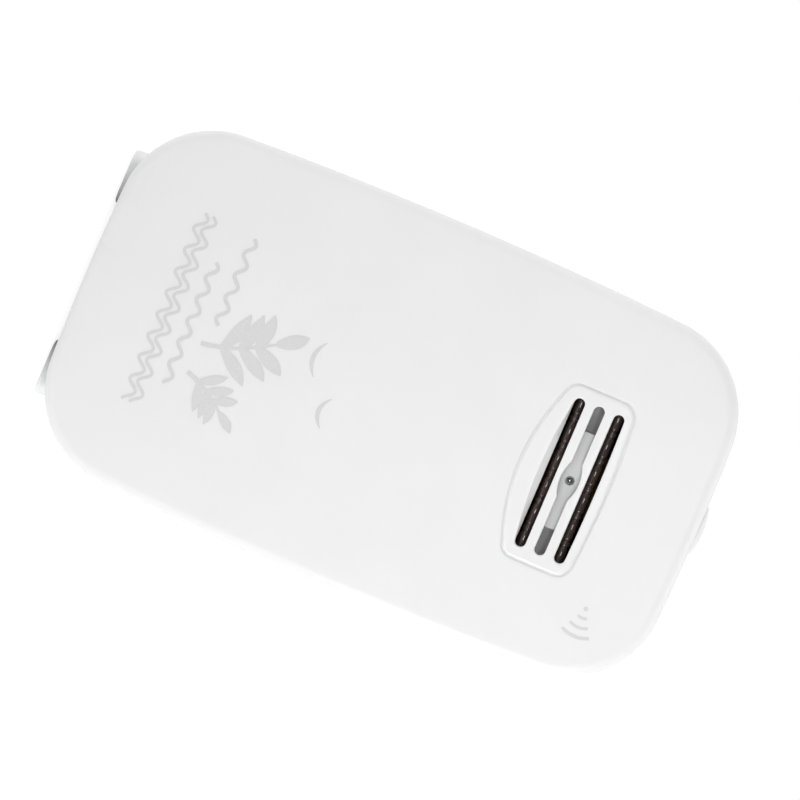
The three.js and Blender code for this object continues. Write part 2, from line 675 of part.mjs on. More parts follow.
// plusUp turns the nub end to the top. The spring end leaves room for its spring.
function battery(column, plusUp) {
  const low = plusUp ? floorPlateZ + plateThick + springHeight + 0.3 : floorPlateZ + plateThick + 0.8;
  const shoulder = CELL_LENGTH - NUB_HEIGHT;
  const profile = [
    [0, 0], [CELL_R - 0.8, 0], [CELL_R, 0.8], [CELL_R, shoulder - 0.8], [CELL_R - 0.5, shoulder],
    [NUB_R, shoulder], [NUB_R, CELL_LENGTH], [0, CELL_LENGTH],
  ];
  const points = profile.map(([radius, along]) => new THREE.Vector2(radius, along));
  const cell = new THREE.LatheGeometry(points, 18).rotateX(Math.PI / 2);
  if (!plusUp) cell.rotateX(Math.PI).translate(0, 0, CELL_LENGTH);
  return cell.translate((column - 1.5) * CELL_PITCH, CELL_Y, low);
}

// A conical spring wound from the plate towards the cell.
function contactSpring(x, plateZ, direction) {
  const points = [];
  const turns = 2.25;
  const steps = 20;
  for (let i = 0; i <= steps; i++) {
    const part = i / steps;
    const angle = 2 * Math.PI * turns * part;
    const radius = 3.8 - 1.6 * part;
    const z = plateZ + direction * (0.1 + (springHeight - 0.4) * part);
    points.push([x + radius * Math.cos(angle), CELL_Y + radius * Math.sin(angle), z]);
  }
  return toSolid(wire(points, 0.35, 18, 4));
}

// One contact: a thin plate, a spring where it meets a cell's flat end, a dimple where it meets
// a nub, and on the end contacts a tab that goes up through the bay's top wall.
function contact(columns, plateZ, springs, hasTab) {
  const xs = columns.map((column) => (column - 1.5) * CELL_PITCH);
  const x0 = Math.min(...xs) - 5.6;
  const x1 = Math.max(...xs) + 5.6;
  const atFloor = plateZ < CENTRE_Z / 2;
  const direction = atFloor ? 1 : -1;
  const face = atFloor ? plateZ + plateThick : plateZ;
  let solid = block(x0, x1, 2.5, 15, plateZ, plateZ + plateThick);
  const dimpleLow = Math.min(face, face + 0.5 * direction) - 0.1;
  const dimple = (x) => rodZ(x, CELL_Y, 1.6, dimpleLow, dimpleLow + 0.7, 14);
  xs.forEach((x, i) => {
    solid = solid.add(springs[i] ? contactSpring(x, face, direction) : dimple(x));
  });
  if (hasTab) solid = solid.add(block(xs[0] - 1.3, xs[0] + 1.3, 2.6, 3, plateZ, bayOuterTop + 2.2));
  return solid;
}

// ---------------------------------------------------------------- leads

const tabX = 1.5 * CELL_PITCH;
const leads = {
  hv_lead: [0.7, whiteInsulation, [
    [-19.9, -12.7, GRILLE_Z], [-21.2, -12.4, GRILLE_Z - 0.2], [-23, -9, GRILLE_Z - 1], [-23.2, -3, 98],
    [-22.6, 4, 96], [-19, 8, 94.5], [-14.9, 8, 94],
  ]],
  transducer_lead_1: [0.45, redInsulation, [
    [-3, -1.3, 96], [-3, -0.9, 92.5], [-3, -0.5, 90], [-3, -0.2, 88.6],
  ]],
  transducer_lead_2: [0.45, blackInsulation, [
    [3, -1.3, 96], [3, -0.9, 92.5], [3, -0.5, 90], [3, -0.2, 88.6],
  ]],
  battery_lead_positive: [0.6, redInsulation, [
    [-tabX, 2.8, 77], [-tabX - 0.8, 3.6, 80], [-tabX + 0.2, 3.4, 84], [-18.4, 2.9, 87],
  ]],
  battery_lead_negative: [0.6, blackInsulation, [
    [tabX, 2.8, 77], [tabX + 0.3, 3.4, 79.6], [21.2, 3.4, 83], [18.9, 2.9, 86],
  ]],
  inlet_lead_1: [0.5, redInsulation, [
    [26.5, 5.6, INLET_Z], [26.2, 3.4, INLET_Z + 4], [22.5, 2.9, 90], [19.4, 2.7, 92],
  ]],
  inlet_lead_2: [0.5, blackInsulation, [
    [23.5, 5.6, INLET_Z + 1], [23.6, 3.6, INLET_Z + 3], [21.8, 3, 88], [19.4, 2.7, 89.4],
  ]],
};

// ---------------------------------------------------------------- assembly

const repeller = new THREE.Group();
repeller.name = 'ultrasonic_pest_repeller';

function place(name, shape, material) {
  const geometry = shape instanceof THREE.BufferGeometry ? shape : toGeometry(shape);
  const mesh = new THREE.Mesh(geometry, material);
  mesh.name = name;
  repeller.add(mesh);
}

// Housing
place('front_shell', frontShell(), whitePlastic);
place('rear_shell', rearShell(), whitePlastic);
place('grille_bezel', grilleBezel(), bezelWhite);
place('power_button', powerButton(), whitePlastic);
place('battery_door', batteryDoor(), whitePlastic);
place('foot_left', foot(-1), footRubber);
place('foot_right', foot(1), footRubber);
CASE_SCREWS.forEach((at, i) => {
  place(`case_screw_${i + 1}`, screwTowardsFront(at, 2.3, 1.3, 1 + GAP, 3, -11.5), steel);
});

// Sound and ion outlet
place('emitter_holder', emitterHolder(), greyPlastic);
place('emitter_pin', emitterPin(), steel);
place('ultrasonic_horn', ultrasonicHorn(), hornBrown);
place('piezo_plate', rodY(0, GRILLE_Z, PIEZO_R, -5.1, -4.8, 28), brass);
place('piezo_ceramic', rodY(0, GRILLE_Z, 7, -4.5, -4.2, 24), ceramic);
place('horn_cap', rodY(0, GRILLE_Z, 11.6, canBack + GAP, -1.7, 28), blackPlastic);
HORN_SCREWS.forEach((at, i) => {
  const headFront = hornFront + earThick + GAP;
  place(`horn_screw_${i + 1}`, screwTowardsFront(at, 2, 0.95, headFront, headFront + 1.3, -16.4), steel);
});

// Electronics
place('main_board', mainBoard(), boardGreen);
BOARD_HOLES_Z.forEach((z, row) => {
  [-BOARD_HOLE_X, BOARD_HOLE_X].forEach((x, column) => {
    place(`board_screw_${2 * row + column + 1}`, boardScrew(x, z), steel);
  });
});
place('hv_module', block(-14.5, 1.5, behindBoard, 14.1, 82, 106), blackPlastic);
place('driver_coil', driverCoil(), finish(0x8a4b22, 0.4, 0.5));
place('capacitor_1', capacitor(6.5, 86), canSleeve);
place('capacitor_2', capacitor(14.5, 88), canSleeve);
place('controller_chip', block(-5, 5, -3.2, BOARD_Y - GAP, 79, 85), blackPlastic);
place('switch_body', switchBody(), blackPlastic);
place('switch_plunger', rodZ(0, BUTTON_Y, 1.3, 117.5, 122.6, 12), greyPlastic);
place('dc_inlet', dcInlet(), blackPlastic);
place('dc_inlet_pin', rodY(INLET_X, INLET_Z, 1, 8.3, 17.5, 12), steel);

// Cells: the first and third stand nub up, the second and fourth nub down.
for (let column = 0; column < 4; column++) {
  place(`battery_${column + 1}`, battery(column, column % 2 === 0), cellWrap);
}
place('contact_bottom_left', contact([0, 1], floorPlateZ, [true, false], false), steel);
place('contact_bottom_right', contact([2, 3], floorPlateZ, [true, false], false), steel);
place('contact_top_positive', contact([0], ceilingPlateZ, [false], true), steel);
place('contact_top_middle', contact([1, 2], ceilingPlateZ, [true, false], false), steel);
place('contact_top_negative', contact([3], ceilingPlateZ, [true], true), steel);

for (const [name, [radius, material, points]] of Object.entries(leads)) {
  place(name, wire(points, radius, 3 * (points.length - 1)), material);
}

export default repeller;
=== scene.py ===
"""Looks of a portable ultrasonic pest repeller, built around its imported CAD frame.

Lengths are in millimetres and become metres when a mesh is made. +X is the object's right,
-Y is its front and +Z is up.
"""
import json
import math

import bmesh
import bpy
from mathutils import Matrix, Vector


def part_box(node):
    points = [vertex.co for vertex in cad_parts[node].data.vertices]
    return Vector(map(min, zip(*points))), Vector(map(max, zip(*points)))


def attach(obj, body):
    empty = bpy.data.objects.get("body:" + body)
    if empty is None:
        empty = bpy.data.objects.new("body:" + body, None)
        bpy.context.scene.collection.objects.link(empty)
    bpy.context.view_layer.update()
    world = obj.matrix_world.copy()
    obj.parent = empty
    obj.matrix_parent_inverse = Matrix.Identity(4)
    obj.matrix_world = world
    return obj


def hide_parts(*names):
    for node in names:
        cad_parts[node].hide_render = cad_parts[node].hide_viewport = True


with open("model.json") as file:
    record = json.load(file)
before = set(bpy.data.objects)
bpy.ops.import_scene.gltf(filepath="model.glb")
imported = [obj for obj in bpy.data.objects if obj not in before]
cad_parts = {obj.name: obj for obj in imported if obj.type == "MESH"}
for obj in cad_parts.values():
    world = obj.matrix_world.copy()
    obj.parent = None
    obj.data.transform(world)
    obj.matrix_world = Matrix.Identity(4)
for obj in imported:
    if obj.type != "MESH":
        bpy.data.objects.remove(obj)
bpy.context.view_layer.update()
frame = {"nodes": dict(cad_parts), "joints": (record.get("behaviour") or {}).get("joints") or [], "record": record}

MM = 0.001


def box_mm(node):
    """Lowest and highest corner of a CAD node, in millimetres."""
    low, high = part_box(node)
    return low / MM, high / MM


def middle(node):
    """Centre of a CAD node's box, in millimetres."""
    low, high = box_mm(node)
    return (low + high) / 2


# ---- sizes from the frame

front_low, front_high = box_mm("front_shell")
rear_high = box_mm("rear_shell")[1]
bezel_low, bezel_high = box_mm("grille_bezel")
button_low, button_high = box_mm("power_button")
door_high = box_mm("battery_door")[1]
door_hinge = next(joint for joint in frame["joints"] if joint["name"] == "battery_door_hinge")

HALF_WIDTH = front_high.x
HALF_HEIGHT = (front_high.z - front_low.z) / 2
CENTRE_Z = (front_high.z + front_low.z) / 2
TOP_Z = front_high.z
FRONT_Y = front_low.y
REAR_Y = rear_high.y
SPLIT_Y = front_high.y
GAP = 0.3
WALL = 2.0
CORNER_R = 18.4
SIDE_ARC_R = 850.0
END_ARC_R = 500.0
CROWN_X = 1.6
CROWN_Z = 1.8
FRONT_EDGE_R = 2.2
REAR_EDGE_R = 3.5
SEAM_R = 0.3                    # rounded edges where the two covers meet

# Sound outlet. The bezel's box includes the flange behind it.
FLANGE = 1.8
BEZEL_HALF = bezel_high.x - FLANGE
BEZEL_TOP = bezel_high.z - FLANGE
BEZEL_BOTTOM = bezel_low.z + FLANGE
BEZEL_BOTTOM_R = 41.5
BEZEL_BACK = bezel_high.y
POCKET_Y = BEZEL_BACK - 2.4     # back of the bezel's face, where the slots end
SEAM_DEPTH = 0.16
LENS = (5.3, 1.85)              # half width and half height of the middle slot's widening
GRILLE_Z = middle("emitter_holder").z
SLOT_PITCH = 4.0
SLOT_HALF = 15.1
SLOT_HEIGHT = 2.1

FOOT_INNER = box_mm("foot_right")[0].x
FOOT_OUTER = box_mm("foot_right")[1].x

BUTTON_Y = middle("power_button").y
BUTTON_R = 5.0
HINGE_Y = door_hinge["pos_m"][1] / MM
HINGE_Z = door_hinge["pos_m"][2] / MM


# ---- meshes

def add_object(name, data):
    """Puts an object with the given mesh, curve, light or camera in the scene."""
    thing = bpy.data.objects.new(name, data)
    bpy.context.scene.collection.objects.link(thing)
    return thing


def new_object(name, points, faces):
    """A mesh object from points in millimetres, with its faces turned outwards."""
    mesh = bpy.data.meshes.new(name)
    mesh.from_pydata([Vector(p) * MM for p in points], [], faces)
    mesh.validate()
    work = bmesh.new()
    work.from_mesh(mesh)
    bmesh.ops.remove_doubles(work, verts=work.verts, dist=1e-7)
    bmesh.ops.recalc_face_normals(work, faces=work.faces)
    work.to_mesh(mesh)
    work.free()
    return add_object(name, mesh)


def loft(name, rings, closed=False):
    """Quads between rings of equal point count. closed joins the last ring to the first;
    otherwise both ends are capped."""
    count = len(rings[0])
    points = [p for ring in rings for p in ring]
    faces = []
    bands = len(rings) if closed else len(rings) - 1
    for r in range(bands):
        here = r * count
        there = ((r + 1) % len(rings)) * count
        for i in range(count):
            j = (i + 1) % count
            faces.append((here + i, here + j, there + j, there + i))
    if not closed:
        faces.append(tuple(range(count)))
        faces.append(tuple(range((len(rings) - 1) * count, len(rings) * count)))
    return new_object(name, points, faces)


def turned(name, profile, origin, axis="z", sides=64):
    """A body of revolution. profile is (radius, distance along the axis); it starts and ends
    on the axis or closes on itself."""
    order = {"x": (1, 2, 0), "y": (2, 0, 1), "z": (0, 1, 2)}[axis]
    points = []
    rows = []
    for radius, along in profile:
        row = []
        for i in range(1 if radius == 0 else sides):
            angle = math.tau * i / sides
            place = [0, 0, 0]
            place[order[0]] = radius * math.cos(angle)
            place[order[1]] = radius * math.sin(angle)
            place[order[2]] = along
            row.append(len(points))
            points.append(Vector(place) + Vector(origin))
        rows.append(row)
    closed = profile[0][0] != 0
    faces = []
    for r in range(len(rows) if closed else len(rows) - 1):
        one, two = rows[r], rows[(r + 1) % len(rows)]
        for i in range(sides):
            j = (i + 1) % sides
            if len(one) == 1:
                faces.append((one[0], two[j], two[i]))
            elif len(two) == 1:
                faces.append((one[i], one[j], two[0]))
            else:
                faces.append((one[i], one[j], two[j], two[i]))
    return new_object(name, points, faces)


def rod(name, radius, start, end, origin, axis="y", sides=64):
    """A plain cylinder from start to end along an axis."""
    return turned(name, [(0, start), (radius, start), (radius, end), (0, end)], origin, axis, sides)


def mirrored(profile):
    """A whole profile from its half, with both ends alike."""
    return [(radius, -along) for radius, along in reversed(profile)] + profile


def box(name, low, high):
    """A block between two corners, used for cutting and joining."""
    (x0, y0, z0), (x1, y1, z1) = low, high
    rings = [[(x0, y, z0), (x1, y, z0), (x1, y, z1), (x0, y, z1)] for y in (y0, y1)]
    return loft(name, rings)


def evaluated_copy(thing):
    """Replaces an object's mesh by the result of its modifiers."""
    graph = bpy.context.evaluated_depsgraph_get()
    mesh = bpy.data.meshes.new_from_object(thing.evaluated_get(graph))
    thing.modifiers.clear()
    old = thing.data
    thing.data = mesh
    bpy.data.meshes.remove(old)
    mesh.name = thing.name


def discard(thing):
    mesh = thing.data
    bpy.data.objects.remove(thing)
    bpy.data.meshes.remove(mesh)


def combine(thing, tools, operation):
    """Joins the tools to a body, or cuts them out of it, and deletes them."""
    for tool in tools:
        step = thing.modifiers.new("step", "BOOLEAN")
        step.operation = operation
        step.solver = "MANIFOLD"
        step.object = tool
    evaluated_copy(thing)
    for tool in tools:
        discard(tool)


def join(thing, *tools):
    combine(thing, tools, "UNION")


def cut(thing, *tools):
    combine(thing, tools, "DIFFERENCE")


def keep_inside(thing, tool):
    combine(thing, (tool,), "INTERSECT")


def shade(thing, sharp_deg=35, weighted=False):
    """Smooth shading with hard edges wherever two faces meet at more than sharp_deg."""
    work = bmesh.new()
    work.from_mesh(thing.data)
    bmesh.ops.remove_doubles(work, verts=work.verts, dist=2e-7)
    limit = math.radians(sharp_deg)
    for edge in work.edges:
        edge.smooth = len(edge.link_faces) == 2 and edge.calc_face_angle(0) < limit
    for face in work.faces:
        face.smooth = True
    work.to_mesh(thing.data)
    work.free()
    if weighted:
        step = thing.modifiers.new("weighted", "WEIGHTED_NORMAL")
        step.keep_sharp = True
        step.weight = 100
    return thing


def bevel(thing, width, segments=3, angle_deg=40):
    step = thing.modifiers.new("bevel", "BEVEL")
    step.width = width * MM
    step.segments = segments
    step.limit_method = "ANGLE"
    step.angle_limit = math.radians(angle_deg)
    step.harden_normals = True


def finish_piece(thing, slot, *nodes, body="housing", material=None):
    """Gives a piece its slot and material, and puts it on its body in place of CAD nodes."""
    thing.data.materials.clear()
    thing.data.materials.append(material or finishes[slot])
    if nodes:
        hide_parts(*nodes)
    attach(thing, body)



# ---- outlines in X and Z

QUARTER = math.pi / 2


def evenly(start, end, steps):
    """Values from start to end in equal steps, ends included."""
    return [start + (end - start) * i / steps for i in range(steps + 1)]


def arc(cx, cz, radius, start, end, steps):
    """Points along an arc, ends included."""
    turns = evenly(start, end, steps)
    return [(cx + radius * math.cos(turn), cz + radius * math.sin(turn)) for turn in turns]


def bow(start, control, end, steps):
    """Points along a quadratic curve, ends included."""
    points = []
    for i in range(steps + 1):
        t = i / steps
        weights = ((1 - t) ** 2, 2 * t * (1 - t), t * t)
        points.append(tuple(
            weights[0] * a + weights[1] * b + weights[2] * c for a, b, c in zip(start, control, end)
        ))
    return points


def distinct(points, least=1e-4):
    """The points without those that repeat their neighbour."""
    return [p for i, p in enumerate(points) if math.dist(p, points[i - 1]) > least]


def corner_centre():
    """Centre of the corner arc that runs smoothly into the long side and the end."""
    side = Vector((HALF_WIDTH - SIDE_ARC_R, 0))
    end = Vector((0, HALF_HEIGHT - END_ARC_R))
    to_side = SIDE_ARC_R - CORNER_R
    to_end = END_ARC_R - CORNER_R
    span = (end - side).length
    along = (to_side ** 2 - to_end ** 2 + span ** 2) / (2 * span)
    across = math.sqrt(to_side ** 2 - along ** 2)
    unit = (end - side) / span
    return side + unit * along + Vector((-unit.y, unit.x)) * across


CORNER = corner_centre()
SIDE_TURN = math.atan2(CORNER.y, CORNER.x - HALF_WIDTH + SIDE_ARC_R)
END_TURN = math.atan2(CORNER.y - HALF_HEIGHT + END_ARC_R, CORNER.x)


def housing_outline(inset=0.0):
    """The housing's outline, moved inwards by inset. All arcs keep their centres."""
    right = arc(HALF_WIDTH - SIDE_ARC_R, 0, SIDE_ARC_R - inset, 0, SIDE_TURN, 20)
    right += arc(CORNER.x, CORNER.y, CORNER_R - inset, SIDE_TURN, END_TURN, 22)
    right += arc(0, HALF_HEIGHT - END_ARC_R, END_ARC_R - inset, END_TURN, QUARTER, 10)
    upper = right + [(-x, z) for x, z in reversed(right)]
    whole = upper + [(x, -z) for x, z in reversed(upper)]
    return distinct([(x, z + CENTRE_Z) for x, z in whole])


def bezel_outline(grow=0.0):
    """The bezel's outline: arched top, straight sides and a deep round bottom."""
    half = BEZEL_HALF + grow
    top_r = 2.9 + grow
    low_r = 2.3 + grow
    bottom_r = BEZEL_BOTTOM_R + grow
    arch = 0.65
    shoulder = BEZEL_TOP - arch + grow
    centre = BEZEL_BOTTOM + BEZEL_BOTTOM_R
    reach = half - low_r * 0.9
    foot = centre - math.sqrt(bottom_r ** 2 - reach ** 2)
    side_end = centre - math.sqrt(bottom_r ** 2 - half ** 2) + low_r * 0.85
    turn = math.asin(reach / bottom_r)
    right = bow((reach, foot), (half, foot + 0.35), (half, side_end), 8)
    right += arc(half - top_r, shoulder - top_r, top_r, 0, QUARTER, 10)
    crown = bow((half - top_r, shoulder), (0, shoulder + 2 * arch), (top_r - half, shoulder), 24)
    left = [(-x, z) for x, z in reversed(right)]
    bottom = arc(0, centre, bottom_r, 1.5 * math.pi - turn, 1.5 * math.pi + turn, 30)
    return distinct(right + crown + left + bottom)


def slot_outline(z, lift=0.0, drop=0.0, grow=0.0):
    """A round-ended slot. lift raises the middle of its upper edge, drop lowers its lower edge."""
    radius = SLOT_HEIGHT / 2 + grow
    end = SLOT_HALF - SLOT_HEIGHT / 2
    points = arc(end, z, radius, -QUARTER, QUARTER, 12)
    points += bow((end, z + radius), (0, z + radius + 2 * lift), (-end, z + radius), 24)
    points += arc(-end, z, radius, QUARTER, 3 * QUARTER, 12)
    points += bow((-end, z - radius), (0, z - radius - 2 * drop), (end, z - radius), 24)
    return distinct(points)


def rounded_rect(x0, x1, z0, z1, radius, steps=6, low_radius=None):
    """A rectangle with round corners, as (x, z) points. low_radius is for the two lower corners."""
    low = low_radius or radius
    corners = ((x1, z1, -1, -1, radius), (x0, z1, 1, -1, radius), (x0, z0, 1, 1, low), (x1, z0, -1, 1, low))
    points = []
    for k, (x, z, side_x, side_z, r) in enumerate(corners):
        points += arc(x + side_x * r, z + side_z * r, r, k * QUARTER, (k + 1) * QUARTER, steps)
    return distinct(points)


def front_surface(x, z):
    """Y of the domed front face."""
    across = (x / HALF_WIDTH) ** 2
    along = ((z - CENTRE_Z) / HALF_HEIGHT) ** 2
    return FRONT_Y + CROWN_X * across + CROWN_Z * along


def on_front(outline, sink=0.0):
    """An outline laid on the front face, sink behind it."""
    return [(x, front_surface(x, z) + sink, z) for x, z in outline]


def at_depth(outline, y):
    return [(x, y, z) for x, z in outline]


def prism(name, outline, y0, y1):
    """A solid with one outline from y0 to y1."""
    return loft(name, [at_depth(outline, y) for y in (y0, y1)])


def fillet(radius, steps):
    """(inset, depth) pairs around a rounded edge, from the face to the side."""
    turns = evenly(0, QUARTER, steps)
    return [(radius * (1 - math.sin(turn)), radius * (1 - math.cos(turn))) for turn in turns]


# ---- materials

def new_material(name):
    material = bpy.data.materials.new(name)
    material.use_nodes = True
    nodes = material.node_tree.nodes
    nodes.clear()
    shader = nodes.new("ShaderNodeBsdfPrincipled")
    output = nodes.new("ShaderNodeOutputMaterial")
    material.node_tree.links.new(shader.outputs["BSDF"], output.inputs["Surface"])
    return material, shader


def feed(material, node, inputs):
    """Gives a node's inputs their values, or links them to other nodes' outputs."""
    for name, value in inputs.items():
        if isinstance(value, bpy.types.NodeSocket):
            material.node_tree.links.new(value, node.inputs[name])
        else:
            node.inputs[name].default_value = value


def add_node(material, kind, inputs):
    node = material.node_tree.nodes.new("ShaderNode" + kind)
    feed(material, node, inputs)
    return node


def coordinate(material, space="Object"):
    return add_node(material, "TexCoord", {}).outputs[space]


def position(material, axis, space="Object"):
    """Distance along one axis, which is in metres in the object's own space."""
    return add_node(material, "SeparateXYZ", {"Vector": coordinate(material, space)}).outputs[axis]


def noise(material, per_mm, detail=4.0, stretch=(1, 1, 1), kind="noise"):
    """A noise texture in the object's own space, with per_mm features to the millimetre."""
    scale = [s / MM for s in stretch]
    place = add_node(material, "Mapping", {"Vector": coordinate(material), "Scale": scale})
    inputs = {"Vector": place.outputs["Vector"], "Scale": per_mm}
    if kind == "cells":
        return add_node(material, "TexVoronoi", inputs).outputs["Distance"]
    return add_node(material, "TexNoise", inputs | {"Detail": detail}).outputs["Fac"]


def ramp(material, source, stops):
    """A colour ramp of (place, colour) stops."""
    node = add_node(material, "ValToRGB", {"Fac": source})
    elements = node.color_ramp.elements
    while len(elements) < len(stops):
        elements.new(0.5)
    for element, (place, colour) in zip(elements, stops):
        element.position = place
        element.color = (*colour, 1)
    return node.outputs["Color"]


def spread(material, source, low, high, start=0.0, end=1.0):
    """Maps what lies between start and end onto a range."""
    inputs = {"Value": source, "From Min": start, "From Max": end, "To Min": low, "To Max": high}
    return add_node(material, "MapRange", inputs).outputs["Result"]


def relief(material, layers):
    """Bumps in sequence: (height source, depth in millimetres)."""
    inputs = {}
    for height, depth in layers:
        bump = add_node(material, "Bump", inputs | {"Height": height, "Distance": depth * MM})
        inputs["Normal"] = bump.outputs["Normal"]
    return inputs["Normal"]


def paint(material, shader, tone, roughness, layers):
    """Feeds a colour, a roughness and layers of bumps to a shader."""
    normal = relief(material, layers)
    feed(material, shader, {"Base Color": tone, "Roughness": roughness, "Normal": normal})
    return material


def shaded(colour, factor):
    return tuple(c * factor for c in colour)


def multiplied(material, first, second):
    """Product of two colours."""
    links = material.node_tree.links
    mix = add_node(material, "Mix", {})
    mix.data_type = "RGBA"
    mix.blend_type = "MULTIPLY"
    mix.inputs["Factor"].default_value = 1
    links.new(first, mix.inputs["A"])
    links.new(second, mix.inputs["B"])
    return mix.outputs["Result"]


def moulded(
    name, colour, rough=(0.38, 0.46), grain=0.004, waviness=0.01, mottling=0.02, glow_through=0.0
):
    """Injection-moulded plastic: faint spark-eroded grain, slight waviness and uneven gloss.
    glow_through is how much light spreads under its surface, which softens edges and seams."""
    material, shader = new_material(name)
    cloud = noise(material, 0.06, 3)
    tone = ramp(material, cloud, [(0.3, shaded(colour, 1 - mottling)), (0.7, colour)])
    gloss = spread(material, noise(material, 0.7, 5), *rough)
    ripple = noise(material, 0.12, 1)
    fine = noise(material, 5.5, 2)
    feed(material, shader, {
        "Subsurface Weight": glow_through,
        "Subsurface Radius": (1, 1, 1),
        "Subsurface Scale": 0.6 * MM,
    })
    return paint(material, shader, tone, gloss, [(ripple, waviness), (fine, grain)])


def soft_rubber(name, colour, inner, outer):
    """Soft elastomer: matt, with a fine pebbled skin and a little dust. Its colour is darkened towards the inner
    end of the pad as painted shade, where the pad is tucked under the housing, and keeps its own colour at the
    outer end."""
    material, shader = new_material(name)
    dust = noise(material, 0.5, 6)
    grey = ramp(material, dust, [(0.35, shaded(colour, 0.93)), (0.65, colour)])
    distance = add_node(material, "Math", {0: position(material, "X")})
    distance.operation = "ABSOLUTE"
    along = spread(material, distance.outputs["Value"], 0, 1, inner * MM, outer * MM)
    # Painted shade: the pad's colour darkens from its outer end to its inner end.
    stops = [(0, 0.17), (0.15, 0.45), (0.4, 0.7), (0.85, 1)]
    painted_shade = ramp(material, along, [(at, (level,) * 3) for at, level in stops])
    pebbles = noise(material, 4.5, kind="cells")
    tone = multiplied(material, grey, painted_shade)
    return paint(material, shader, tone, spread(material, dust, 0.62, 0.82), [(pebbles, 0.008)])


def metal(name, colour, rough=(0.18, 0.34), brushed=(1, 1, 1), scratches=0.003):
    """Bare or plated metal with fine working marks along one direction."""
    material, shader = new_material(name)
    shader.inputs["Metallic"].default_value = 1.0
    marks = noise(material, 2.4, 6, stretch=brushed)
    stain = noise(material, 0.25, 4)
    tone = ramp(material, stain, [(0.3, shaded(colour, 0.86)), (0.7, colour)])
    return paint(material, shader, tone, spread(material, marks, *rough), [(marks, scratches)])


def coated(name, colour, grain, darkest, rough, depth, stops=(0.3, 0.7)):
    """A smooth skin: one fine noise drives its colour, its gloss and its relief."""
    material, shader = new_material(name)
    uneven = noise(material, grain, 3)
    tone = ramp(material, uneven, [(stops[0], shaded(colour, darkest)), (stops[1], colour)])
    return paint(material, shader, tone, spread(material, uneven, *rough), [(uneven, depth)])


def insulated(name, colour):
    """Flexible wire insulation: smooth, slightly uneven, softly glossy."""
    return coated(name, colour, 0.9, 0.85, (0.35, 0.5), 0.02)


def board_laminate(name):
    """Circuit board: green solder mask over a fine weave, with darker tracks showing through."""
    material, shader = new_material(name)
    tracks = noise(material, 0.35, 0, stretch=(1, 1, 0.25))
    tone = ramp(material, tracks, [(0.46, (0.012, 0.09, 0.035)), (0.5, (0.03, 0.17, 0.07))])
    weave = noise(material, 2.2, kind="cells")
    layers = [(tracks, 0.02), (weave, 0.01)]
    return paint(material, shader, tone, spread(material, weave, 0.25, 0.4), layers)


def cell_film(name, main, band):
    """Printed film on a cell: one plain colour with a darker band towards the flat end."""
    material, shader = new_material(name)
    along = spread(material, position(material, "Z"), 0, 1, 0, 50 * MM)
    tone = ramp(material, along, [(0.3, band), (0.305, main)])
    uneven = noise(material, 0.4, 3)
    feed(material, shader, {"Metallic": 0.35})
    return paint(material, shader, tone, spread(material, uneven, 0.24, 0.32), [(uneven, 0.003)])


WHITE = (0.74, 0.742, 0.74)
finishes = {
    "shell_white": moulded("shell_white_plastic", WHITE, glow_through=0.4),
    "bezel_white": moulded(
        "bezel_white_plastic", WHITE, rough=(0.28, 0.34), grain=0.001, glow_through=0.4
    ),
    "foot_rubber": soft_rubber("foot_elastomer_painted_shade", (0.80, 0.805, 0.81), FOOT_INNER, FOOT_OUTER),
    "screw_steel": metal("zinc_plated_steel", (0.6, 0.61, 0.63), brushed=(0.3, 1, 3)),
    "holder_grey": moulded("light_grey_plastic", (0.585, 0.588, 0.592), rough=(0.3, 0.4)),
    "pin_steel": metal("bright_pin_steel", (0.5, 0.505, 0.52), (0.12, 0.22), brushed=(1, 0.2, 1)),
    "horn_brown": moulded(
        "dark_brown_plastic", (0.022, 0.013, 0.011), rough=(0.12, 0.2), grain=0.001, mottling=0.3
    ),
    # Brass coloured near black: painted shade for the disc seen deep in the throat behind the slots.
    "disc_brass": metal("brass_painted_shade", (0.14, 0.10, 0.055), (0.35, 0.5), brushed=(0.2, 1, 4)),
    "disc_ceramic": moulded("fired_ceramic", (0.78, 0.75, 0.66), rough=(0.5, 0.65), grain=0.012),
    "part_black": moulded(
        "black_plastic", (0.022, 0.022, 0.024), rough=(0.35, 0.5), grain=0.008, mottling=0.25
    ),
    "board_green": board_laminate("circuit_board"),
    "winding_copper": metal(
        "enamelled_copper", (0.62, 0.28, 0.12), brushed=(1, 8, 1), scratches=0.02
    ),
    "can_sleeve": moulded("can_sleeve_film", (0.02, 0.045, 0.11), rough=(0.22, 0.32), mottling=0.2),
    "contact_nickel": metal("nickel_plate", (0.78, 0.76, 0.71), (0.3, 0.42), brushed=(3, 0.3, 1)),
    "wire_white": insulated("silicone_insulation", (0.75, 0.75, 0.73)),
    "wire_red": insulated("red_insulation", (0.5, 0.03, 0.02)),
    "wire_black": insulated("black_insulation", (0.02, 0.02, 0.02)),
}
# The emitter base is the bar's own grey plastic, coloured darker as painted shade where it lies deeper in the
# slot.
holder_painted_shade = moulded("grey_plastic_base_painted_shade", (0.5, 0.5, 0.505), rough=(0.35, 0.45))
rail_gloss = moulded(
    "polished_brown_plastic", (0.042, 0.026, 0.021), rough=(0.04, 0.07), grain=0.0, waviness=0.003,
    mottling=0.3,
)
# Pad-printed ink: a faintly speckled film, glossier than the plastic under it.
print_grey = coated("print_grey", (0.575, 0.576, 0.576), 4.0, 1.07, (0.3, 0.42), 0.004, (0.32, 0.6))


# ---- front shell

SOUND_CENTRE = (0.0, (BEZEL_TOP + BEZEL_BOTTOM) / 2)
OPENING_GROW = 0.2
TONGUE_GROOVE = 1.8              # depth of the groove that takes the rear cover's tongue


def turn_of(point):
    return math.atan2(point[1] - SOUND_CENTRE[1], point[0] - SOUND_CENTRE[0])


def spokes():
    """Directions from the middle of the sound outlet to the points of both outlines."""
    turns = sorted(turn_of(p) for p in housing_outline() + bezel_outline(OPENING_GROW))
    least = 0.003
    chosen = [turns[0]]
    for turn in turns[1:]:
        if turn - chosen[-1] > least:
            chosen.append(turn)
    return chosen


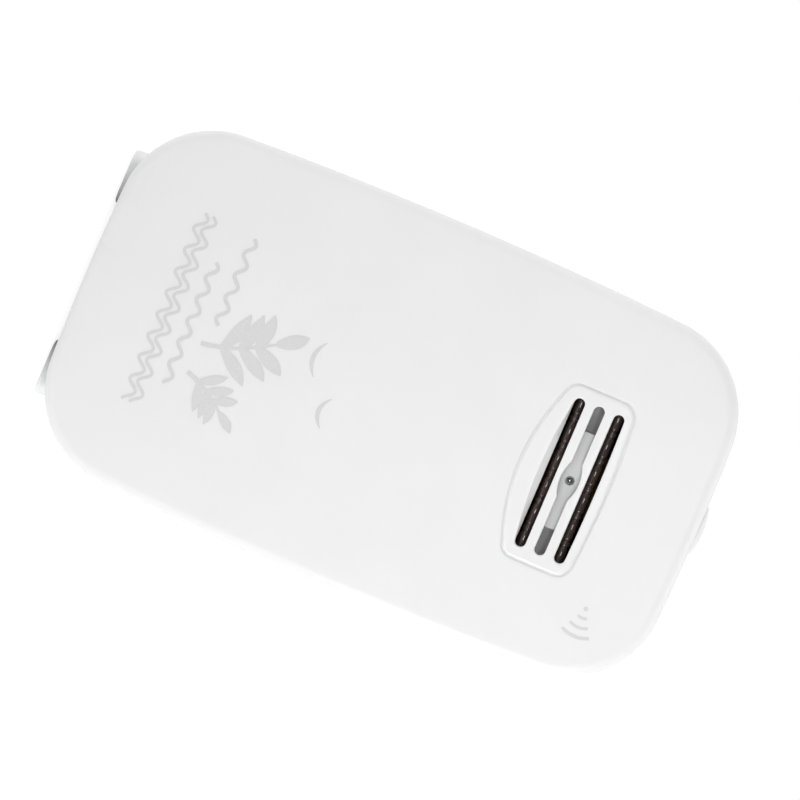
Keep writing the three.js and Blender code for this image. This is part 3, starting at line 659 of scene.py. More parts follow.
def along_spokes(outline, turns):
    """Where each spoke crosses an outline."""
    corners = sorted(outline, key=turn_of)
    angles = [turn_of(p) for p in corners]
    crossings = []
    i = 0
    for turn in turns:
        while i < len(angles) and angles[i] < turn:
            i += 1
        a = corners[i - 1]
        b = corners[i % len(corners)]
        ray = (math.cos(turn), math.sin(turn))
        edge = (b[0] - a[0], b[1] - a[1])
        start = (a[0] - SOUND_CENTRE[0], a[1] - SOUND_CENTRE[1])
        reach = (start[0] * edge[1] - start[1] * edge[0]) / (ray[0] * edge[1] - ray[1] * edge[0])
        crossings.append((SOUND_CENTRE[0] + ray[0] * reach, SOUND_CENTRE[1] + ray[1] * reach))
    return crossings


def between(first, second, t):
    """Points a fraction t of the way from one ring of points to another."""
    return [tuple(p + (q - p) * t for p, q in zip(a, b)) for a, b in zip(first, second)]


def build_front_shell():
    """A closed skin around the sound outlet: rim, domed face, rounded edge, side, seam lip
    and the inside surface."""
    turns = spokes()
    rim_r = 0.4
    tongue_room = 0.9
    inside_r = FRONT_EDGE_R - WALL
    face_steps = 26
    side_rings = (-11.0, -8.0)

    def opening(grow):
        return along_spokes(bezel_outline(grow), turns)

    def side(inset):
        return along_spokes(housing_outline(inset), turns)

    rings = [on_front(opening(OPENING_GROW + inset), depth) for inset, depth in reversed(fillet(rim_r, 4))]
    inner = opening(OPENING_GROW + rim_r)
    outer = side(FRONT_EDGE_R)
    rings += [on_front(between(inner, outer, t)) for t in evenly(0, 1, face_steps)[1:-1]]
    rings += [on_front(side(inset), depth) for inset, depth in fillet(FRONT_EDGE_R, 10)]
    rings += [at_depth(side(0), y) for y in (*side_rings, SPLIT_Y - SEAM_R)]
    rings += [at_depth(side(inset), SPLIT_Y - depth) for inset, depth in reversed(fillet(SEAM_R, 3)[:-1])]
    rings.append(at_depth(side(tongue_room), SPLIT_Y))
    rings += [at_depth(side(inset), SPLIT_Y - TONGUE_GROOVE) for inset in (tongue_room, WALL)]
    rings += [on_front(side(WALL + inset), WALL + depth) for inset, depth in reversed(fillet(inside_r, 3))]
    near = opening(OPENING_GROW)
    rings += [on_front(between(outer, near, t), WALL) for t in evenly(0, 1, 4)[1:]]
    shell = loft("front_cover", rings, closed=True)
    shade(shell, 50)
    finish_piece(shell, "shell_white", "front_shell")


# ---- grille bezel

def lens_outline(half_width, half_height, grow=0.0):
    """The lens-shaped widening in the middle slot."""
    radius = (half_width ** 2 + half_height ** 2) / (2 * half_height)
    turn = math.asin(half_width / radius)
    upper = arc(0, GRILLE_Z + half_height - radius, radius + grow, QUARTER - turn, QUARTER + turn, 14)
    lower = arc(0, GRILLE_Z - half_height + radius, radius + grow, -QUARTER - turn, turn - QUARTER, 14)
    return upper[:-1] + lower[:-1]


def slot_cutter(name, make_outline, back_outline=None):
    """A slot's cutter with a small rounded flare where it meets the face. If the outline at the
    back differs, the slot's wall slopes."""
    flare = 0.28
    lift = -GAP
    rings = [on_front(make_outline(flare + 0.12), lift - 0.35), on_front(make_outline(flare), lift - 0.02)]
    rings += [on_front(make_outline(inset), lift + depth) for inset, depth in fillet(flare, 3)[1:]]
    rings += [at_depth((back_outline or make_outline)(0), y) for y in (POCKET_Y - 0.7, BEZEL_BACK + 1)]
    return loft(name, rings)


def build_bezel():
    """A raised frame with a rounded rim, three slots and a sloped lip below the lowest slot."""
    rim = 0.6
    rings = [at_depth(bezel_outline(0), BEZEL_BACK)]
    rings += [on_front(bezel_outline(-inset), depth - GAP) for inset, depth in reversed(fillet(rim, 6))]
    cx, cz = SOUND_CENTRE
    for scale in (0.9, 0.75, 0.55, 0.35, 0.15):
        shrunk = [(cx + (x - cx) * scale, cz + (z - cz) * scale) for x, z in bezel_outline(-rim)]
        rings.append(on_front(shrunk, -GAP))
    bezel = loft("bezel_frame", rings)
    flange = prism("flange", bezel_outline(FLANGE), BEZEL_BACK - 1, BEZEL_BACK)
    # A step just below the face closes the seam, so that it is a shallow groove.
    step = bezel_outline(OPENING_GROW + 0.08)
    skirt = loft("skirt", [on_front(step, SEAM_DEPTH), on_front(step, 2 * SEAM_DEPTH)])
    join(bezel, flange, skirt)

    def slot(name, z, back_outline=None, **bend):
        return slot_cutter(name, lambda g: slot_outline(z, grow=g, **bend), back_outline)

    low = GRILLE_Z - SLOT_PITCH
    cut(
        bezel,
        prism("pocket", bezel_outline(-0.9), POCKET_Y, BEZEL_BACK + 1),
        slot("upper", GRILLE_Z + SLOT_PITCH, lift=0.26),
        slot("centre", GRILLE_Z),
        slot_cutter("lens", lambda g: lens_outline(*LENS, g)),
        slot("lower", low, lambda g: slot_outline(low, grow=g), drop=1.1),
    )
    shade(bezel, 40, weighted=True)
    finish_piece(bezel, "bezel_white", "grille_bezel")


# ---- horn and emitter

HORN_FRONT = BEZEL_BACK + GAP
HORN_BACK = -8.0
RAIL_R = 0.9
RAIL_HALF = 16.2
RAIL_RISE = 3.8
RAIL_PITCH = 5.6
RAIL_Y = POCKET_Y + GAP + RAIL_R


def flare_ring(half_x, half_z, roundness, y, count=72):
    """A ring that runs from a rounded rectangle to a circle as roundness goes to 1."""
    ring = []
    for i in range(count):
        angle = math.tau * i / count
        c, s = math.cos(angle), math.sin(angle)
        x = math.copysign(abs(c) ** roundness, c)
        z = math.copysign(abs(s) ** roundness, s)
        ring.append((half_x * x, y, GRILLE_Z + half_z * z))
    return ring


def rail_profile():
    """Long bars with a short bead between them, along a rail, with a bead at its middle."""
    neck = RAIL_R - 0.16
    bar_gap = 0.85
    bead = 0.45
    bumps = [(k * RAIL_PITCH + bar_gap, (k + 1) * RAIL_PITCH - bar_gap) for k in range(-3, 3)]
    bumps += [(k * RAIL_PITCH - bead, k * RAIL_PITCH + bead) for k in range(-2, 3)]
    profile = [(0, -RAIL_HALF), (neck, -RAIL_HALF)]
    for start, end in sorted(bumps):
        profile += [(neck, start), (RAIL_R - 0.03, start + 0.12), (RAIL_R, start + 0.25)]
        profile += [(RAIL_R, end - 0.25), (RAIL_R - 0.03, end - 0.12), (neck, end)]
    return profile + [(neck, RAIL_HALF), (0, RAIL_HALF)]


def build_rail(name, z):
    """A polished rail behind an outer slot, on a post at each end."""
    rail = turned(name, rail_profile(), (0, RAIL_Y, z), "x", 40)
    thick = 0.6
    posts = []
    for side in (-1, 1):
        x0, x1 = sorted((side * (RAIL_HALF - thick), side * RAIL_HALF))
        posts.append(box("post", (x0, RAIL_Y, z - thick), (x1, HORN_FRONT + 1, z + thick)))
    join(rail, *posts)
    shade(rail, 50)
    finish_piece(rail, "horn_brown", "ultrasonic_horn", material=rail_gloss)


def build_horn():
    """The dark sound horn: a flared mouth, a round throat and two ribbed guard rails."""
    half_x, half_z = 18.6, 7.8
    can_r, can_start, can_end = 12, -8.6, -3.4
    seat_r, seat_start = 10.8, -5.4
    ear_half, ear_thick, ear_reach = 2.8, 1.8, 3.4
    outline = rounded_rect(-half_x, half_x, GRILLE_Z - half_z, GRILLE_Z + half_z, 3)
    horn = prism("horn_body", outline, HORN_FRONT, HORN_BACK)
    can = rod("can", can_r, can_start, can_end, (0, 0, GRILLE_Z))
    ears = []
    holes = []
    for n, side in ((1, -1), (2, 1)):
        at = middle(f"horn_screw_{n}")
        inner, outer = sorted((side * (half_x - 1), at.x + side * ear_reach))
        ear = rounded_rect(inner, outer, at.z - ear_half, at.z + ear_half, 1.2)
        ears.append(prism("ear", ear, HORN_FRONT, HORN_FRONT + ear_thick))
        holes.append(rod("hole", 1.4, -16, -8, (at.x, 0, at.z), sides=24))
    join(horn, can, *ears)
    mouth = [
        (16.0, 6.4, 0.33, HORN_FRONT - 0.5), (15.8, 6.2, 0.35, HORN_FRONT + 0.3),
        (15.2, 6.2, 0.42, HORN_FRONT + 1.2), (13.2, 6.4, 0.56, -11.6), (11.2, 6.8, 0.72, -10.2),
        (9.2, 7.4, 0.88, -8.6), (8.0, 8.0, 1.0, -7.0), (8.0, 8.0, 1.0, -5.0),
    ]
    flare = loft("flare", [flare_ring(*row) for row in mouth])
    seat = rod("seat", seat_r, seat_start, 0, (0, 0, GRILLE_Z))
    plate_low, plate_high = box_mm("emitter_holder")
    groove_end = (plate_high.x + GAP, plate_high.y + GAP, plate_high.z - 0.9)
    groove = box("groove", (-30, -20, plate_low.z + 0.9), groove_end)
    cut(horn, flare, seat, groove, *holes)
    shade(horn, 40, weighted=True)
    finish_piece(horn, "horn_brown", "ultrasonic_horn")
    build_rail("horn_rail_upper", GRILLE_Z + RAIL_RISE)
    build_rail("horn_rail_lower", GRILLE_Z - RAIL_RISE)


def build_emitter():
    """A light grey bar with a round boss, its base in the same plastic coloured darker as painted shade, and the
    pin in its well.
    """
    low, high = box_mm("emitter_holder")
    chamfer = 0.3
    bar_back = -13.2
    half_x, half_z = 9.8, 1.9
    boss_r = 2.6
    base_front, base_half = -13.4, 1.4
    well_r, well_depth = 0.85, 1.8
    well_lip = 0.2

    def layered(name, outline_at):
        rings = [at_depth(outline_at(-chamfer), low.y), at_depth(outline_at(-0.1), low.y + 0.1)]
        rings += [at_depth(outline_at(0), low.y + chamfer), at_depth(outline_at(0), bar_back)]
        return loft(name, rings)

    bar = layered("emitter_bar", lambda g: rounded_rect(
        -half_x - g, half_x + g, GRILLE_Z - half_z - g, GRILLE_Z + half_z + g, 0.6 + g))
    boss = layered("boss", lambda g: arc(0, GRILLE_Z, boss_r + g, 0, math.tau * 47 / 48, 47))
    join(bar, boss)
    profile = [(0, low.y - 1), (well_r + well_lip, low.y - 1), (well_r + well_lip, low.y)]
    profile += [(well_r, low.y + well_lip), (well_r, low.y + well_depth), (0, low.y + well_depth)]
    cut(bar, turned("well", profile, (0, 0, GRILLE_Z), "y", 32))
    shade(bar, 35, weighted=True)
    finish_piece(bar, "holder_grey", "emitter_holder")

    # Painted shade: the base gets a darker copy of the bar's plastic.
    base_low = (low.x, base_front, GRILLE_Z - base_half)
    plate = box("emitter_base", base_low, (high.x, high.y, GRILLE_Z + base_half))
    bevel(shade(plate), 0.25)
    finish_piece(plate, "holder_grey", "emitter_holder", material=holder_painted_shade)

    tip = middle("emitter_pin")
    pin_low, pin_high = box_mm("emitter_pin")
    profile = [(0, pin_low.y), (0.16, pin_low.y + 0.03), (0.3, pin_low.y + 0.2), (0.5, pin_low.y + 0.75)]
    profile += [(0.5, pin_high.y), (0, pin_high.y)]
    pin = turned("ion_pin", profile, (tip.x, 0, tip.z), "y", 32)
    shade(pin, 50)
    finish_piece(pin, "pin_steel", "emitter_pin")


# ---- rear shell

BAY_HALF = 29.2
BAY_WALL = 2.4
BAY_FLOOR_Y = 1.8
BAY_BOTTOM = 15.0
BAY_TOP = 71.0
DOOR_HALF = 30.4
DOOR_TOP = door_high.z
DOOR_INNER_Y = 17.2
DOOR_CORNER_R = 3.0
SCOOP_R = 7.0
SCOOP_DEPTH = 1.25
BEAD_R = 1.7
SHAFT_HALF = 32.6
SCREW_BOSS_R = 4
SCREW_WELL_R = 2.6
INLET_HOLE_R = 4.5
HINGE_BLOCK_X = 31.7
VENT_HALF = 9
VENT_HALF_HEIGHT = 0.8
VENT_ROWS = 6
VENT_BOTTOM = 104.0
VENT_PITCH = 2.8
screw_places = [middle(f"case_screw_{n}") for n in range(1, 5)]


def back_skin(name, inset, edge_r, back_y, start_y, seam_r=0.0):
    """Side, rounded edge and flat back of the rear shell at an inset, as a solid."""
    if seam_r:
        rings = [at_depth(housing_outline(inset + by), start_y + depth) for by, depth in fillet(seam_r, 3)]
    else:
        rings = [at_depth(housing_outline(inset), start_y)]
    rings += [at_depth(housing_outline(inset), y) for y in (0, 5, 10)]
    edge = reversed(fillet(edge_r, 10))
    rings += [at_depth(housing_outline(inset + by), back_y - depth) for by, depth in edge]
    return loft(name, rings)


def well(name, x, z, radius, bottom_y, lip=0.3):
    """A round hole's cutter from the back, with a small chamfer at its mouth."""
    wide = radius + lip + 0.2
    profile = [(0, bottom_y), (radius, bottom_y), (radius, REAR_Y - lip), (wide, REAR_Y + 0.2)]
    profile += [(wide, REAR_Y + 2), (0, REAR_Y + 2)]
    return turned(name, profile, (x, 0, z), "y", 40)


def lipped(name, outline_at, bottom_y, lip=0.25):
    """A cutter from the back whose outline grows at its mouth."""
    rings = [at_depth(outline_at(0), y) for y in (bottom_y, REAR_Y - lip)]
    rings += [at_depth(outline_at(lip + 0.2), y) for y in (REAR_Y + 0.2, REAR_Y + 2)]
    return loft(name, rings)


def finger_scoop():
    """A ball that leaves a shallow dish above the door's latch."""
    turns = [math.pi * (i / 24 - 0.5) for i in range(1, 24)]
    profile = [(SCOOP_R * math.cos(turn), SCOOP_R * math.sin(turn)) for turn in turns]
    place = (0, REAR_Y + SCOOP_R - SCOOP_DEPTH, DOOR_TOP + 3.5)
    return turned("scoop", [(0, -SCOOP_R)] + profile + [(0, SCOOP_R)], place, "z")


def door_pocket():
    """Cutters for the opening that the door fills, its hinge sockets and its latch."""
    opening = DOOR_HALF + GAP
    mouth_low = HINGE_Z - BEAD_R - GAP
    mouth_high = DOOR_TOP + GAP
    upper_r = DOOR_CORNER_R + GAP
    hinge_at = (0, HINGE_Y, HINGE_Z)

    def mouth(g):
        half = opening + g
        return rounded_rect(-half, half, mouth_low - g, mouth_high + g, upper_r + g, 10, 0.4 + g)

    return [
        box("bay_room", (-BAY_HALF, BAY_FLOOR_Y, BAY_BOTTOM), (BAY_HALF, REAR_Y + 1, BAY_TOP)),
        lipped("mouth", mouth, DOOR_INNER_Y - GAP),
        rod("socket", BEAD_R + GAP, -opening, opening, hinge_at, "x", 40),
        rod("shaft", 1.05, -SHAFT_HALF, SHAFT_HALF, hinge_at, "x", 24),
        box("latch_room", (-5, 15.2, BAY_TOP - 1), (5, REAR_Y + 1, DOOR_TOP + 0.4)),
        finger_scoop(),
    ]


def button_hole():
    """A cutter for the button's hole, with a small chamfer at its mouth."""
    radius = BUTTON_R + GAP
    profile = [(0, TOP_Z - 6), (radius, TOP_Z - 6), (radius, TOP_Z - 0.3), (radius + 0.5, TOP_Z + 0.2)]
    return turned("button_hole", profile + [(radius + 0.5, TOP_Z + 3), (0, TOP_Z + 3)], (0, BUTTON_Y, 0))


def vent_slot(z):
    def outline(g):
        half = VENT_HALF + g
        return rounded_rect(-half, half, z - VENT_HALF_HEIGHT - g, z + VENT_HALF_HEIGHT + g, 0.78 + g, 5)

    return lipped("vent", outline, REAR_Y - 4)


def build_rear_shell():
    """A hollow cover with the battery bay, the door's pocket, screw bosses and openings."""
    outer_args = (0, REAR_EDGE_R, REAR_Y, SPLIT_Y + GAP)
    shell = back_skin("rear_cover", *outer_args, seam_r=SEAM_R)
    cut(shell, back_skin("cavity", WALL, REAR_EDGE_R - WALL, REAR_Y - WALL, SPLIT_Y - 1))

    tongue_start = SPLIT_Y + 2 * GAP - 2.1
    tongue = prism("tongue", housing_outline(1.2), tongue_start, SPLIT_Y + 1)
    cut(tongue, prism("hollow", housing_outline(WALL), tongue_start - 1, SPLIT_Y + 2))

    reach = BAY_HALF + BAY_WALL
    inside = box("bay", (-reach, 0.2, BAY_BOTTOM - 4.3), (reach, REAR_Y, BAY_TOP + 3.4))
    blocks = []
    for x in (-HINGE_BLOCK_X, HINGE_BLOCK_X):
        blocks.append(box("block", (x - 1.3, 15.4, HINGE_Z - 2.2), (x + 1.3, 18.6, HINGE_Z + 2.2)))
    bosses = [rod("boss", SCREW_BOSS_R, -1, 18, (place.x, 0, place.z), sides=40) for place in screw_places]
    join(inside, *blocks, *bosses)
    keep_inside(inside, back_skin("limit", *outer_args))
    join(shell, tongue, inside)

    inlet = middle("dc_inlet")
    tools = door_pocket()
    tools += [well("inlet_hole", inlet.x, inlet.z, INLET_HOLE_R, 14), button_hole()]
    tools += [well("well", place.x, place.z, SCREW_WELL_R, 1) for place in screw_places]
    tools += [vent_slot(VENT_BOTTOM + VENT_PITCH * i) for i in range(VENT_ROWS)]
    cut(shell, *tools)
    shade(shell, 38, weighted=True)
    finish_piece(shell, "shell_white", "rear_shell")


# ---- battery door

def door_outline(g):
    return rounded_rect(-DOOR_HALF - g, DOOR_HALF + g, HINGE_Z - 4 - g, DOOR_TOP + g, DOOR_CORNER_R + g, 10)


def build_door():
    """A thin plate with a rounded rim, a rolled hinge edge, a sprung latch and grip grooves."""
    rings = [at_depth(door_outline(-0.15), DOOR_INNER_Y), at_depth(door_outline(0), DOOR_INNER_Y + 0.15)]
    rings += [at_depth(door_outline(-inset), REAR_Y - depth) for inset, depth in reversed(fillet(0.3, 4))]
    door = loft("battery_cover", rings)
    cut(door, box("below", (-40, 10, 0), (40, 30, HINGE_Z)))
    bead = mirrored([(BEAD_R, DOOR_HALF - 0.2), (BEAD_R - 0.2, DOOR_HALF), (0, DOOR_HALF)])
    pin_end = door_high.x
    pin = mirrored([(0.8, pin_end - 0.2), (0.6, pin_end), (0, pin_end)])
    hook_half, hook_low, hook_high = 4.5, 71.2, 72.9
    hook = box("hook", (-hook_half, 15.6, hook_low), (hook_half, DOOR_INNER_Y + 0.5, hook_high))
    hinge_at = (0, HINGE_Y, HINGE_Z)
    join(door, turned("bead", bead, hinge_at, "x", 48), turned("pin", pin, hinge_at, "x", 24), hook)
    slit_x, slit_low = 7.5, 62
    tools = [box("slit", (x - 0.4, 15, slit_low), (x + 0.4, 20, 74)) for x in (-slit_x, slit_x)]
    grip = mirrored([(0.5, 4.9), (0, 5.2)])
    tools += [turned("groove", grip, (0, REAR_Y + 0.12, 64 + 1.7 * i), "x", 24) for i in range(5)]
    # Two shallow panels on the inside keep the wall thin.
    for side in (-1, 1):
        x0, x1 = sorted((side * 8.6, side * 28.4))
        tools.append(prism("panel", rounded_rect(x0, x1, 18, 70, 2), DOOR_INNER_Y - 1, DOOR_INNER_Y + 0.4))
    cut(door, *tools)
    shade(door, 38, weighted=True)
    finish_piece(door, "shell_white", "battery_door", body="battery_door")


# ---- button, feet, screws, inlet

def build_button():
    """A domed cap with a soft edge, its flange under the housing and its stem."""
    stem = button_low.z
    rim = TOP_Z - WALL - 0.4
    top = button_high.z
    edge = top - 1.2
    shoulder = 0.6
    flange = 1.1
    stem_r, bore_r, bore = 2.4, 1.6, 2
    profile = [(0, stem + bore), (bore_r, stem + bore), (bore_r, stem), (stem_r, stem)]
    profile += [(stem_r, rim - flange), (BUTTON_R + flange, rim - flange), (BUTTON_R + flange, rim)]
    profile += [(BUTTON_R, rim), (BUTTON_R, edge)]
    for inset, depth in reversed(fillet(shoulder, 6)[:-1]):
        profile.append((BUTTON_R - inset, edge + shoulder - depth))
    flat = BUTTON_R - shoulder
    dome = top - edge - shoulder
    for i in range(1, 12):
        radius = flat * (1 - i / 12)
        profile.append((radius, edge + shoulder + dome * (1 - (radius / flat) ** 2)))
    profile.append((0, top))
    cap = turned("push_button", profile, (0, BUTTON_Y, 0), "z", 72)
    shade(cap, 42)
    finish_piece(cap, "bezel_white", "power_button", body="button")


def build_foot(name, node):
    """A soft pad with rounded corners and lower edge, cut to follow the housing."""
    low, high = box_mm(node)
    corner_r = 2.6

    def level(inset, z):
        spans = (low.x + inset, high.x - inset, low.y + inset, high.y - inset)
        plan = rounded_rect(*spans, corner_r - inset, 8)
        return [(x, y, z) for x, y in plan]

    rings = [level(inset, depth) for inset, depth in fillet(0.4, 6)]
    rings += [level(0, z) for z in (1.2, 6)]
    foot = loft(name, rings)
    seat = loft("seat", [[(x, y, z - 0.02) for x, z in housing_outline()] for y in (-40, 40)])
    cut(foot, seat)
    shade(foot, 40, weighted=True)
    finish_piece(foot, "foot_rubber", node)


def build_case_screw(n):
    """A pan-head screw with a cross recess, at the bottom of its well."""
    node = f"case_screw_{n}"
    low, high = box_mm(node)
    at = middle(node)
    back = high.y
    front = back - 1.7
    shank_r, head_r = 1.3, 2.3
    profile = [(0, low.y), (0.5, low.y), (shank_r, low.y + 1.6), (shank_r, front), (2.2, front)]
    profile += [(head_r, front + 0.15), (head_r, back - 0.9), (2.05, back - 0.4)]
    profile += [(1.4, back - 0.08), (0.7, back), (0, back)]
    screw = turned(f"case_fastener_{n}", profile, (at.x, 0, at.z), "y", 40)
    tools = []
    for wide, tall in ((1.35, 0.26), (0.26, 1.35)):
        rings = []
        for scale, y in ((0.35, back - 1.1), (1, back - 0.3), (1.1, back + 0.5)):
            w, t = max(wide * scale, 0.18), max(tall * scale, 0.18)
            corners = ((-w, -t), (w, -t), (w, t), (-w, t))
            rings.append([(at.x + x, y, at.z + z) for x, z in corners])
        tools.append(loft("recess", rings))
    cut(screw, *tools)
    shade(screw, 35)
    finish_piece(screw, "screw_steel", node)


def build_inlet():
    """The low-voltage power inlet: a black collar with a chamfered hole and a centre contact."""
    at = middle("dc_inlet")
    low, high = box_mm("dc_inlet")
    collar_r, collar_start = 4.2, 16.4
    hole_r, mouth_r = 2.9, 3.4
    body = box("power_inlet", (low.x, low.y, low.z), (high.x, collar_start + 0.3, high.z))
    collar = [(0, collar_start), (collar_r, collar_start), (collar_r, high.y - 0.25)]
    collar += [(collar_r - 0.25, high.y), (0, high.y)]
    join(body, turned("collar", collar, (at.x, 0, at.z), "y", 56))
    hole = [(0, 8), (hole_r, 8), (hole_r, high.y - 0.4), (mouth_r, high.y + 0.1)]
    hole += [(mouth_r, high.y + 2), (0, high.y + 2)]
    cut(body, turned("hole", hole, (at.x, 0, at.z), "y", 48))
    shade(body, 35, weighted=True)
    finish_piece(body, "part_black", "dc_inlet")
    pin_low, pin_high = box_mm("dc_inlet_pin")
    profile = [(0, pin_low.y), (1, pin_low.y), (1, pin_high.y - 0.5), (0.86, pin_high.y - 0.14)]
    profile += [(0.5, pin_high.y), (0, pin_high.y)]
    pin = turned("inlet_contact", profile, (at.x, 0, at.z), "y", 32)
    shade(pin, 50)
    finish_piece(pin, "pin_steel", "dc_inlet_pin")


# ---- cells and contacts

UPPER_CONTACT_Z = 70.3


def build_cells():
    """Four AA cells, each a steel can with a nub, an insulating ring and a film sleeve."""
    film = cell_film("cell_film", (0.55, 0.57, 0.6), (0.04, 0.1, 0.13))
    can_radius = 6.95
    nub_r = 2.75
    length = 50.5
    shoulder = length - 1.5
    can = [(0, 0.15), (4.2, 0.15), (4.6, 0), (6.3, 0), (can_radius - 0.1, 0.35), (can_radius, 1.0)]
    can += [(can_radius, shoulder - 0.9), (can_radius - 0.25, shoulder - 0.2), (6.2, shoulder)]
    can += [(4.6, shoulder), (4.3, shoulder - 0.35), (3.3, shoulder - 0.35), (3.0, shoulder)]
    can += [(nub_r, shoulder + 0.1), (nub_r, length - 0.35), (nub_r - 0.35, length), (0, length)]
    sleeve = [(7.0, 0.5), (7.1, 0.6), (7.1, shoulder - 0.7), (6.9, shoulder - 0.1), (6.0, shoulder + 0.06)]
    sleeve += [(5.9, shoulder - 0.02), (6.8, shoulder - 0.3), (6.98, shoulder - 0.9), (6.98, 0.6)]
    for n in range(1, 5):
        node = f"battery_{n}"
        low, high = box_mm(node)
        at = middle(node)
        nub_up = n % 2 == 1
        for part, profile, material in (("can", can, finishes["contact_nickel"]), ("film", sleeve, film)):
            piece = turned(f"cell_{n}_{part}", profile, (0, 0, 0), "z", 56)
            shade(piece, 40)
            piece.location = Vector((at.x, at.y, low.z if nub_up else high.z)) * MM
            piece.rotation_euler.x = 0 if nub_up else math.pi
            finish_piece(piece, "cell_wrap", node, material=material)


def contact_plate(name, node):
    """The plate of a contact, with softened edges, and its tab if it has one."""
    low, high = box_mm(node)
    face = low.z if low.z < CENTRE_Z / 2 else UPPER_CONTACT_Z
    thick = 0.4
    plan = rounded_rect(low.x, high.x, low.y, high.y, 1.2, 5)
    plate = loft(name, [[(x, y, z) for x, y in plan] for z in (face, face + thick)])
    if high.z > face + 1:
        tab_x, tab_half = (low.x + high.x) / 2, 1.3
        join(plate, box("tab", (tab_x - tab_half, 2.6, face), (tab_x + tab_half, 3, high.z)))
    bevel(shade(plate), 0.1, 2)
    finish_piece(plate, "contact_nickel", node)


def contact_spring(name, x, y, start_z, direction):
    """A conical compression spring of round wire, wound from the plate towards the cell."""
    wire_r = 0.3
    wide_r, narrow_by = 4.0, 1.7
    height = 2.35
    curve = bpy.data.curves.new(name, "CURVE")
    curve.dimensions = "3D"
    curve.bevel_depth = wire_r * MM
    curve.bevel_resolution = 4
    curve.use_fill_caps = True
    spline = curve.splines.new("POLY")
    steps = 130
    turns = 3.0
    spline.points.add(steps)
    for i in range(steps + 1):
        t = i / steps
        angle = math.tau * turns * t
        radius = wide_r - narrow_by * t
        lift = wire_r + height * min(1, max(0, (t - 0.08) / 0.84))
        place = (x + radius * math.cos(angle), y + radius * math.sin(angle), start_z + direction * lift)
        spline.points[i].co = (*(c * MM for c in place), 1)
    thing = add_object(name, curve)
    curve.materials.append(finishes["contact_nickel"])
    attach(thing, "housing")


def build_contacts():
    """A plate for each contact, and a spring at each cell's flat end."""
    places = ("bottom_left", "bottom_right", "top_positive", "top_middle", "top_negative")
    for place in places:
        contact_plate(f"terminal_{place}", f"contact_{place}")
    for n in range(1, 5):
        at = middle(f"battery_{n}")
        start_z, direction = (BAY_BOTTOM + 0.7, 1) if n % 2 else (UPPER_CONTACT_Z, -1)
        contact_spring(f"cell_spring_{n}", at.x, at.y, start_z, direction)


# ---- printed motif

INK = 0.04
INK_LAYER = 0.004


def ribbon(name, path, widths, layer=0):
    """A thin raised stroke on the front face along a path of (x, z) points. Strokes that cross
    have different layers, so that no two surfaces coincide."""
    proud = INK + layer * INK_LAYER
    rings = []
    for i, (x, z) in enumerate(path):
        before = path[max(i - 1, 0)]
        after = path[min(i + 1, len(path) - 1)]
        dx, dz = after[0] - before[0], after[1] - before[1]
        span = math.hypot(dx, dz) or 1
        half = (widths[i] if isinstance(widths, list) else widths) / 2
        nx, nz = -dz / span, dx / span
        edges = [(x + nx * half, z + nz * half), (x - nx * half, z - nz * half)]
        rings.append(on_front(edges, -proud) + on_front(reversed(edges), 0.02))
    return loft(name, rings)


def merge(name, parts):
    """Puts several meshes in one object."""
    work = bmesh.new()
    for part in parts:
        work.from_mesh(part.data)
        discard(part)
    mesh = bpy.data.meshes.new(name)
    work.to_mesh(mesh)
    work.free()
    return add_object(name, mesh)


def wave(x0, x1, z, height=1.0, width=0.6):
    """A wavy line from x0 to x1 that starts at its mean height, z."""
    period = 4.4
    steps = max(8, int((x1 - x0) / 0.3))
    path = [(x, z + height * math.sin(math.tau * (x - x0) / period)) for x in evenly(x0, x1, steps)]
    return ribbon("wave", path, width)


def disc(x, z, radius):
    """A round dot, as a short stroke as wide as the circle is at each of its points."""
    turns = [math.pi * (i + 0.5) / 12 for i in range(12)]
    path = [(x - radius * math.cos(turn), z) for turn in turns]
    return ribbon("dot", path, [2 * radius * math.sin(turn) for turn in turns])


def leaf(crown, tip, rise, width, layer):
    """A pointed leaf that arches from the crown to its tip."""
    middle_point = ((crown[0] + tip[0]) / 2, (crown[1] + tip[1]) / 2 + rise)
    path = bow(crown, middle_point, tip, 14)
    widths = [max(0.12, width * math.sin(math.pi * (0.08 + 0.92 * i / 14)) ** 0.8) for i in range(15)]
    return ribbon("leaf", path, widths, layer)


def sprig(base, top, lean, leaf_length, leaf_width, pairs):
    """A curved stem with pairs of leaves and one leaf at its end."""
    control = ((base[0] + top[0]) / 2 + lean, (base[1] + top[1]) / 2)
    steps = 24
    stem = bow(base, control, top, steps)
    parts = [ribbon("stem", stem, [0.9 - 0.5 * i / steps for i in range(steps + 1)])]
    for pair in range(pairs + 1):
        i = round(steps * (0.3 + 0.7 * pair / pairs))
        x, z = stem[i]
        heading = math.atan2(z - stem[i - 1][1], x - stem[i - 1][0])
        size = leaf_length * (1 - 0.25 * pair / pairs)
        for turn in ((0,) if pair == pairs else (-0.95, 0.95)):
            way = heading + turn
            tip = (x + size * math.cos(way), z + size * math.sin(way))
            parts.append(leaf((x, z), tip, 0.12 * size, leaf_width, len(parts)))
    return parts


